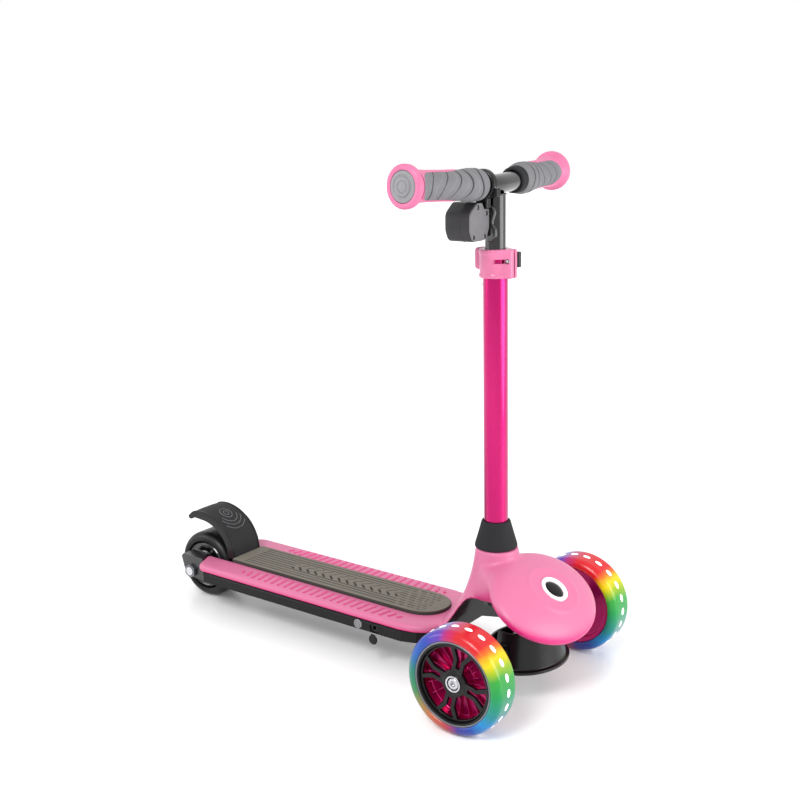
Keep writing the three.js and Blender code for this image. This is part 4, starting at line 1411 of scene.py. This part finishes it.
def build_crossbar():
    """The bent handlebar and the weld where it meets the inner tube."""
    end = BAR_END * 0.955
    path = []
    for k in range(-24, 25):
        t = k / 24
        lift = math.sqrt(t * t + 0.01) - 0.1
        path.append(Vector((end.x * lift, end.y * t, end.z * lift)))
    bar = moved(tube(path, BAR_RADIUS, 64), STEERER @ Matrix.Translation((0, 0, BAR_HEIGHT)))
    weld_ring = circle(0, 0, INNER_TUBE_RADIUS + 0.2, 96)
    weld_path = [Vector((x, y, BAR_HEIGHT - 10.6)) for x, y in [*weld_ring, weld_ring[0]]]
    weld = moved(tube(weld_path, 0.9, 10), STEERER)
    piece("handlebar_tube", merged(bar, weld), FINISHES["gloss"], "handlebar",
          ["crossbar"], 50)


GRIP_GROOVES = 5
GRIP_END = 141  # where the rubber meets the flange, from the middle of the bar
GRIP_INNER = {"left": 54.0, "right": 29.0}  # where each grip starts


def grip_radius(s, inner):
    """The grip's radius at s along the bar: it swells near its inner end and at the flange."""
    stations = [(inner, 15.4), (inner + 3, 17.0), (inner + 10, 18.0), (inner + 20, 17.8),
                (inner + 36, 16.4), (96, 15.7), (118, 15.8), (134, 16.4), (142, 18.0)]
    for (a, ra), (b, rb) in zip(stations, stations[1:]):
        if s <= b:
            t = limited((s - a) / (b - a))
            t = t * t * (3 - 2 * t)
            return ra + (rb - ra) * t
    return stations[-1][1]


def groove_depth(s, angle, inner):
    """How far the wavy grooves sink at a point of the grip, and how strongly its raised wave rises, which
    also sets the highlight painted on it.
    """
    depth = 0.0
    wave = 0.0
    top = math.cos(angle)
    length = 136 - inner
    for k in range(GRIP_GROOVES):
        share = (k + 0.4) / GRIP_GROOVES
        centre = inner + 6 + share * (length - 8)
        centre += -6.5 * top * (0.4 + 0.7 * share) + 3.6 * math.sin(2 * angle + 1.3 * k)
        width = 0.9 + 0.35 * math.sin(angle + k)
        depth = max(depth, math.exp(-((s - centre) / width) ** 4))
        between = centre + length / GRIP_GROOVES * 0.45 + 2.4 * math.sin(3 * angle + k)
        wave = max(wave, math.exp(-((s - between) / 0.7) ** 2))
    return depth, wave


def build_grips():
    """Each grip: its rubber, the pink flange and strips, the end disc, and the long side's collar."""
    for side, name in ((1, "left"), (-1, "right")):
        place = leg_frame(side)
        inner = GRIP_INNER[name]
        build_grip_rubber(name, inner, place)

        def part(kind, shape, finish, slot, sharp=45):
            piece(kind + name, moved(shape, place), FINISHES[finish], "handlebar", (), sharp)

        flange = rounded([(12, 137, 0), (16.6, 137.4, 2), (18.6, 142.6, 4), (22.9, 147.6, 1.6),
                          (23.0, 152.4, 1.6), (20.4, 154.6, 1.4), (17.0, 154.2, 0.6), (16.6, 152.0, 0),
                          (12, 152.0, 0)], 1, 5)
        part("grip_flange_", lathe(flange), "grip_pink", "pink_shell")
        strips = [grip_strip(inner, toward) for toward in (0.0, math.pi)]
        part("grip_strips_", merged(*strips), "grip_pink", "pink_shell")
        disc = rounded([(0, 151.6, 0), (16.4, 151.6, 0), (16.4, 154.0, 0.8), (12.6, 154.9, 0.5),
                        (11.6, 153.9, 0.4), (10.4, 153.9, 0.4), (9.6, 155.3, 0.5), (0, 155.6, 0)], 0.5)
        bead = rounded([(5.8, 155.0), (6.6, 155.0), (6.5, 156.0), (5.9, 156.0)], 0.2)
        part("grip_cap_", merged(lathe(to_axis(disc)), lathe(bead, 64)), "disc", "grip_rubber", 40)
        if name == "left":
            band = rounded([(11.3, inner - 12), (14.6, inner - 11.4), (15.4, inner - 1),
                            (15.4, inner + 0.4), (11.3, inner + 0.4)], 1)
            part("grip_collar_", lathe(band), "rubber", "grip_rubber")


def build_grip_rubber(name, inner, place):
    """The grooved rubber; its groove values paint shade into the grooves, and its ridge values paint a
    highlight on the raised wave.
    """
    columns, rows = 120, 170
    rings, groove, ridge = [], [], []
    for r in range(rows + 1):
        s = inner + (GRIP_END - inner) * r / rows
        ring = []
        for angle in full_turn(columns):
            depth, wave = groove_depth(s, angle, inner)
            fade = min(1, (s - inner) / 3) * min(1, (GRIP_END - s) / 5)
            radius = grip_radius(s, inner) - 1.0 * depth * fade + 0.28 * wave * (1 - depth) * fade
            ring.append(round_y(radius, s, angle))
            groove.append(depth * fade)
            ridge.append(wave * fade * (1 - depth))
        rings.append(ring)
    bore = [[round_y(11.4, s, angle) for angle in full_turn(columns)] for s in (GRIP_END, inner)]
    shape = moved(loft([*rings, *bore, rings[0]], False), place)
    made = piece("grip_rubber_" + name, shape, FINISHES["grip"], "handlebar",
                 ["grip_" + name], 60)
    inverse = place.inverted()
    mesh = made.data
    # groove: painted shade in the grooves; ridge: painted highlight on the raised wave
    for label, values in (("groove", groove), ("ridge", ridge)):
        layer = mesh.attributes.new(label, "FLOAT", "POINT")
        for vertex in mesh.vertices:
            at = inverse @ (vertex.co / MM)
            if math.hypot(at.x, at.z) <= 12:
                layer.data[vertex.index].value = 0.0
                continue
            r = round((at.y - inner) / (GRIP_END - inner) * rows)
            c = round(math.atan2(at.x, at.z) / (2 * math.pi) * columns) % columns
            layer.data[vertex.index].value = values[min(max(r, 0), rows) * columns + c]


def grip_strip(inner, toward):
    """The pink wedge that runs from the flange along the top or the bottom of the grip."""
    outer_grid, inner_grid = [], []
    root = GRIP_END - 0.5
    tip = inner + (GRIP_END - inner) * 0.36
    rows, columns = 48, 20
    for r in range(rows + 1):
        t = r / rows
        s = root + (tip - root) * t
        half = math.radians(24 + 75 * math.exp(-t * 12) * (1 - t)) * math.sqrt(max(1 - t ** 6, 0.0008))
        outer_line, inner_line = [], []
        for c in range(columns + 1):
            u = 2 * c / columns - 1
            angle = toward + half * u
            edge = 0.7 * abs(u) ** 6 + 0.5 * t ** 8
            outer_line.append(round_y(grip_radius(s, inner) + 0.75 - edge, s, angle))
            inner_line.append(round_y(grip_radius(s, inner) - 1.4, s, angle))
        outer_grid.append(outer_line)
        inner_grid.append(inner_line)
    return patch(outer_grid, inner_grid)


# ---- thumb throttle with its display pod ----
def pod_outline(grow):
    """The pod from the front, grown or shrunk about its middle."""
    y, z = POD_Y, POD_Z
    corners = [(y - 14, z - 21, 11), (y + 13, z - 21, 11), (y + 19.6, z - 7, 9), (y + 19.6, z + 13, 2),
               (y + 9, z + 14, 1), (y + 5, z + 21, 3), (y - 5, z + 21, 8), (y - 19.6, z + 10, 11),
               (y - 19.6, z - 9, 11)]
    return rounded([(y + (a - y) * grow, z + (b - z) * grow, r) for a, b, r in corners], 4, 8)


def build_throttle():
    """The pod with its front plate, screws and rear display, its clamp and its lever."""
    shell = front_part([pod_outline(1.0)], POD_REAR, POD_FRONT - 2.2, 2.4, 4)
    seam = front_part([pod_outline(1.012)], POD_FRONT - 14.5, POD_FRONT - 13.2, 0.3)
    piece("throttle_pod", moved(merged(shell, seam), STEERER), FINISHES["pod"], "handlebar",
          ["throttle_housing"], 40)
    corners = [(POD_Y - 12, POD_Z - 16), (POD_Y + 10.5, POD_Z - 16), (POD_Y + 14.5, POD_Z + 8.5),
               (POD_Y - 3, POD_Z + 16)]
    holes = [circle(y, z, 2.6, 28) for y, z in corners]
    cover = front_part([pod_outline(0.97), *holes], POD_FRONT - 2.1, POD_FRONT, 0.5, 3)
    piece("throttle_plate", moved(cover, STEERER), FINISHES["plate"], "handlebar",
          ["throttle_cover"], 40)
    screws = [turned_screw((POD_FRONT - 2.2, y, z), (1, 0, 0), 2.2, 1.0, 1.7) for y, z in corners]
    piece("throttle_screws", moved(merged(*screws), STEERER), FINISHES["dark_steel"], "handlebar")
    rearward = Matrix.Rotation(-math.pi / 2, 4, "Z")
    lens_place = STEERER @ Matrix.Translation((0, POD_Y - 1, POD_Z - 1)) @ rearward
    dome = [(0, POD_REAR + 2), (13.4, POD_REAR + 2), (13.4, POD_REAR - 0.4), (12.4, POD_REAR - 1.0),
            (0, POD_REAR - 1.3)]
    piece("display_glass", moved(lathe(dome), lens_place), FINISHES["lens"], "handlebar",
          ["display_lens"], 45)
    ring = rounded([(13.2, POD_REAR + 1), (15.4, POD_REAR + 1), (15.2, POD_REAR - 0.9),
                    (13.8, POD_REAR - 1.5), (13.2, POD_REAR - 0.8)], 0.5)
    piece("display_bezel", moved(lathe(ring), lens_place), FINISHES["white"], "handlebar",
          (), 45)
    build_throttle_clamp()
    build_thumb_lever()


def build_throttle_clamp():
    """The split ring that holds the pod on the bar, and its pinch screw."""
    place = Matrix.Translation((-2, 0, BAR_HEIGHT + 0.9))
    outline = [(10.6, -27), (15.2, -27), (17.0, -25.6), (17.0, -18.8), (15.2, -17.4), (10.6, -17.4)]
    ring = moved(lathe(rounded(outline, 0.8)), place)
    foot = rounded_box(-9, 6, -26.8, -17.6, 555, 570, 2, 1.2)
    lug = rounded_box(10, 18.6, -26.4, -18.2, 568.4, 577.6, 1.6, 1.0)
    split = rounded_box(9, 30, -30, -10, 572.5, 573.5, 0.1, 0.1)
    mesh = onto_steerer(moulding("bar_clamp", merged(ring, foot, lug), 0.5, 5, [split]))
    piece("bar_clamp", mesh, FINISHES["smooth_black"], "handlebar", ["throttle_clamp"], 40)
    pinch = turned_screw((14.6, -22.3, 577.2), (0, 0, 1), 2.6, 1.3, 2.2)
    piece("pinch_screw", moved(pinch, STEERER), FINISHES["dark_steel"], "handlebar")


def build_thumb_lever():
    """The glossy lever: a curved arm with an oval thumb pad."""
    arm = spline([(-17.6, 546), (-13, 555.6), (-3, 560), (6, 557.6), (9.6, 551), (7.6, 543.6), (6.8, 538.4),
                  (10.4, 532), (9.6, 523.6), (2, 519.4), (-5, 523), (-6.4, 531), (-2.4, 538.4), (0.4, 544.6),
                  (-3, 548), (-9, 546.6), (-14, 541.4)], 5, True)
    blade = side_part([[(p.x, p.y) for p in arm]], -16.8, -12.4, 1.6, 4)
    boss = rounded([(0, -17.2, 0), (3.4, -17.2, 0.6), (3.4, -11.9, 0.6), (0, -11.9, 0)], 0.6)
    pivot = moved(lathe(boss, 40), Matrix.Translation((-13.2, 0, 544.6)))
    pad = []
    for i in range(13):
        t = i / 12
        swell = math.sin(math.pi * min(max(t, 0.02), 0.98)) ** 0.5
        at = Vector((2.0, -14.6, 528.0)) + Vector((0, (t - 0.5) * 7.0, 0))
        pad.append([at + Vector((8.0 * swell * math.cos(a), 0, 9.6 * swell * math.sin(a)))
                    for a in full_turn(36)])
    body = moved(merged(blade, pivot, loft(pad)), STEERER)
    piece("thumb_paddle", body, FINISHES["gloss_plastic"], "thumb_lever",
          ["throttle_lever"], 50)


# ---- stage ----
FLOOR_RINGS = (1.0, 8.0)  # radii of the floor's rings of points, in metres
AIM = Vector((0.05, 0.0, 0.2))  # where the lights point
CAMERA_PLACE = (0.9323, -1.2138, 0.6880)
CAMERA_DIP = 13.61  # degrees below the horizon
CAMERA_TURN = 35.65
CAMERA_LENS = 58.05
CAMERA_SHIFT = (-0.0082, -0.0066)


def build_stage(settings):
    """A wide pale floor, an even white room, soft lights and the camera."""
    points, faces = [Vector((0, 0, 0))], []
    for radius in FLOOR_RINGS:
        points += [Vector((x, y, 0)) for x, y in circle(0, 0, radius, ROUND)]
    for k in range(ROUND):
        n = (k + 1) % ROUND
        faces.append((0, 1 + k, 1 + n))
        faces.append((1 + k, 1 + ROUND + k, 1 + ROUND + n, 1 + n))
    mesh = bpy.data.meshes.new("studio_floor")
    mesh.from_pydata(points, [], faces)
    mesh.materials.append(floor_finish(settings.floor_glow))
    floor = bpy.data.objects.new("studio_floor", mesh)
    bpy.context.scene.collection.objects.link(floor)

    world = bpy.data.worlds.new("studio_light")
    world.use_nodes = True
    world.node_tree.nodes["Background"].inputs["Color"].default_value = (1, 1, 1, 1)
    world.node_tree.nodes["Background"].inputs["Strength"].default_value = settings.sky_light
    bpy.context.scene.world = world
    bpy.context.scene.view_settings.view_transform = "Standard"
    side_light = settings.key_light * settings.side_share
    add_light("key_light", (0.4, -2.2, 2.4), 1.2, settings.key_light)
    add_light("side_box", (1.25, 0.3, 0.5), 0.9, side_light)
    add_light("left_strip", (-1.3, -1.0, 0.7), 0.7, side_light * 0.5)

    lens = bpy.data.cameras.new("camera")
    lens.lens = CAMERA_LENS
    lens.sensor_width = 36
    lens.shift_x, lens.shift_y = CAMERA_SHIFT
    lens.clip_start = 0.05
    lens.clip_end = 60
    camera = bpy.data.objects.new("camera", lens)
    camera.location = CAMERA_PLACE
    camera.rotation_euler = (math.radians(90 - CAMERA_DIP), 0, math.radians(CAMERA_TURN))
    bpy.context.scene.collection.objects.link(camera)
    bpy.context.scene.camera = camera


def add_light(name, place, size, power):
    """A round soft light that points at the scooter and isn't seen itself."""
    lamp = bpy.data.lights.new(name, "AREA")
    lamp.shape = "DISK"
    lamp.size = size
    lamp.energy = power
    holder = bpy.data.objects.new(name, lamp)
    holder.location = place
    holder.visible_camera = False
    holder.rotation_mode = "QUATERNION"
    holder.rotation_quaternion = (AIM - Vector(place)).to_track_quat("-Z", "Y")
    bpy.context.scene.collection.objects.link(holder)


# ---- settings, operators, panel ----
class ScooterSettings(bpy.types.PropertyGroup):
    shell_colour: FloatVectorProperty(
        name="Shell colour", description="Colour of the moulded deck, clamp and grip ends",
        subtype="COLOR", size=3, default=paint(193, 101, 138)[:3], min=0, max=1)
    metal_colour: FloatVectorProperty(
        name="Metal colour", description="Colour of the anodised tube and the rims",
        subtype="COLOR", size=3, default=paint(176, 4, 94)[:3], min=0, max=1)
    skin_voxel: FloatProperty(
        name="Shell detail", description="Size of the smallest feature of the shell, in millimetres",
        default=1.6, min=0.8, max=4)
    mat_step: FloatProperty(
        name="Mat detail", description="Distance between the mat's points, in millimetres",
        default=0.8, min=0.5, max=3)
    rib_count: IntProperty(
        name="Wing ribs", description="Slanted ribs on each wing", default=24, min=2, max=60)
    spot_count: IntProperty(
        name="Tyre lights", description="Lights round each front tyre", default=22, min=3, max=48)
    tyre_glow: FloatProperty(
        name="Tyre glow", description="Brightness of the lit tyres", default=0.05, min=0)
    spot_glow: FloatProperty(
        name="Light spots", description="Brightness of the lights", default=0.9, min=0)
    key_light: FloatProperty(
        name="Key light", description="Power of the main light", default=60, min=0, unit="POWER")
    side_share: FloatProperty(
        name="Side light", description="Power of the low side light as a share of the main light",
        default=0.15, min=0)
    floor_glow: FloatProperty(
        name="Floor glow", description="Brightness that the far floor adds", default=0.5, min=0)
    sky_light: FloatProperty(
        name="Room light", description="Strength of the even light", default=1.0, min=0)


class SCOOTER_OT_stage(bpy.types.Operator):
    """Set up the floor, the lights and the camera, and make the finishes"""
    bl_idname = "scooter.stage"
    bl_label = "Stage"

    def execute(self, context):
        make_finishes(context.scene.scooter)
        build_stage(context.scene.scooter)
        return {"FINISHED"}


class SCOOTER_OT_deck(bpy.types.Operator):
    """Build the moulded deck with its neck, shield and ribs"""
    bl_idname = "scooter.deck"
    bl_label = "Deck moulding"

    def execute(self, context):
        build_deck_moulding(context.scene.scooter)
        return {"FINISHED"}


class SCOOTER_OT_mat(bpy.types.Operator):
    """Build the ribbed foot mat"""
    bl_idname = "scooter.mat"
    bl_label = "Foot mat"

    def execute(self, context):
        build_mat(context.scene.scooter)
        return {"FINISHED"}


class SCOOTER_OT_base(bpy.types.Operator):
    """Finish the base tray, its covers and the rear fork"""
    bl_idname = "scooter.base"
    bl_label = "Base and fork"

    def execute(self, context):
        build_base()
        return {"FINISHED"}


class SCOOTER_OT_side_controls(bpy.types.Operator):
    """Build the power button and the cap of the charge socket"""
    bl_idname = "scooter.side_controls"
    bl_label = "Side controls"

    def execute(self, context):
        build_side_controls()
        return {"FINISHED"}


class SCOOTER_OT_head(bpy.types.Operator):
    """Build the steering head and its collar"""
    bl_idname = "scooter.head"
    bl_label = "Steering head"

    def execute(self, context):
        build_head()
        return {"FINISHED"}


class SCOOTER_OT_lamp(bpy.types.Operator):
    """Build the lamp in the shield"""
    bl_idname = "scooter.lamp"
    bl_label = "Lamp"

    def execute(self, context):
        build_lamp()
        return {"FINISHED"}


class SCOOTER_OT_truck(bpy.types.Operator):
    """Build the housing that carries the front axle"""
    bl_idname = "scooter.truck"
    bl_label = "Front truck"

    def execute(self, context):
        build_truck()
        return {"FINISHED"}


class SCOOTER_OT_front_wheels(bpy.types.Operator):
    """Build both lit front wheels"""
    bl_idname = "scooter.front_wheels"
    bl_label = "Front wheels"

    def execute(self, context):
        build_front_wheels(context.scene.scooter)
        return {"FINISHED"}


class SCOOTER_OT_rear_wheel(bpy.types.Operator):
    """Build the rear wheel with its hub motor"""
    bl_idname = "scooter.rear_wheel"
    bl_label = "Rear wheel"

    def execute(self, context):
        build_rear_wheel()
        return {"FINISHED"}


class SCOOTER_OT_fender(bpy.types.Operator):
    """Build the fender that brakes the rear wheel"""
    bl_idname = "scooter.fender"
    bl_label = "Fender brake"

    def execute(self, context):
        build_fender()
        return {"FINISHED"}


class SCOOTER_OT_tubes(bpy.types.Operator):
    """Build both tubes of the steerer"""
    bl_idname = "scooter.tubes"
    bl_label = "Steerer tubes"

    def execute(self, context):
        build_tubes()
        return {"FINISHED"}


class SCOOTER_OT_clamp(bpy.types.Operator):
    """Build the height clamp with its bolt and lever"""
    bl_idname = "scooter.clamp"
    bl_label = "Height clamp"

    def execute(self, context):
        build_clamp()
        return {"FINISHED"}


class SCOOTER_OT_handlebar(bpy.types.Operator):
    """Build the handlebar with both grips"""
    bl_idname = "scooter.handlebar"
    bl_label = "Handlebar and grips"

    def execute(self, context):
        build_crossbar()
        build_grips()
        return {"FINISHED"}


class SCOOTER_OT_throttle(bpy.types.Operator):
    """Build the throttle pod with its clamp, display and lever"""
    bl_idname = "scooter.throttle"
    bl_label = "Throttle"

    def execute(self, context):
        build_throttle()
        return {"FINISHED"}


OPERATORS = (
    SCOOTER_OT_stage, SCOOTER_OT_deck, SCOOTER_OT_mat, SCOOTER_OT_base, SCOOTER_OT_side_controls,
    SCOOTER_OT_head, SCOOTER_OT_lamp, SCOOTER_OT_truck, SCOOTER_OT_front_wheels,
    SCOOTER_OT_rear_wheel, SCOOTER_OT_fender, SCOOTER_OT_tubes, SCOOTER_OT_clamp,
    SCOOTER_OT_handlebar, SCOOTER_OT_throttle,
)


class SCOOTER_PT_panel(bpy.types.Panel):
    """Lists the settings and the steps"""
    bl_idname = "SCOOTER_PT_panel"
    bl_label = "Kick Scooter"
    bl_space_type = "VIEW_3D"
    bl_region_type = "UI"
    bl_category = "Scooter"

    def draw(self, context):
        for name in ScooterSettings.__annotations__:
            self.layout.prop(context.scene.scooter, name)
        for operator in OPERATORS:
            self.layout.operator(operator.bl_idname)


def register():
    bpy.utils.register_class(ScooterSettings)
    for operator in OPERATORS:
        bpy.utils.register_class(operator)
    bpy.utils.register_class(SCOOTER_PT_panel)
    bpy.types.Scene.scooter = PointerProperty(type=ScooterSettings)


def unregister():
    del bpy.types.Scene.scooter
    bpy.utils.unregister_class(SCOOTER_PT_panel)
    for operator in reversed(OPERATORS):
        bpy.utils.unregister_class(operator)
    bpy.utils.unregister_class(ScooterSettings)


def main():
    """Builds everything in order."""
    register()
    for operator in OPERATORS:
        group, step = operator.bl_idname.split(".")
        getattr(getattr(bpy.ops, group), step)()


if __name__ == "__main__":
    main()
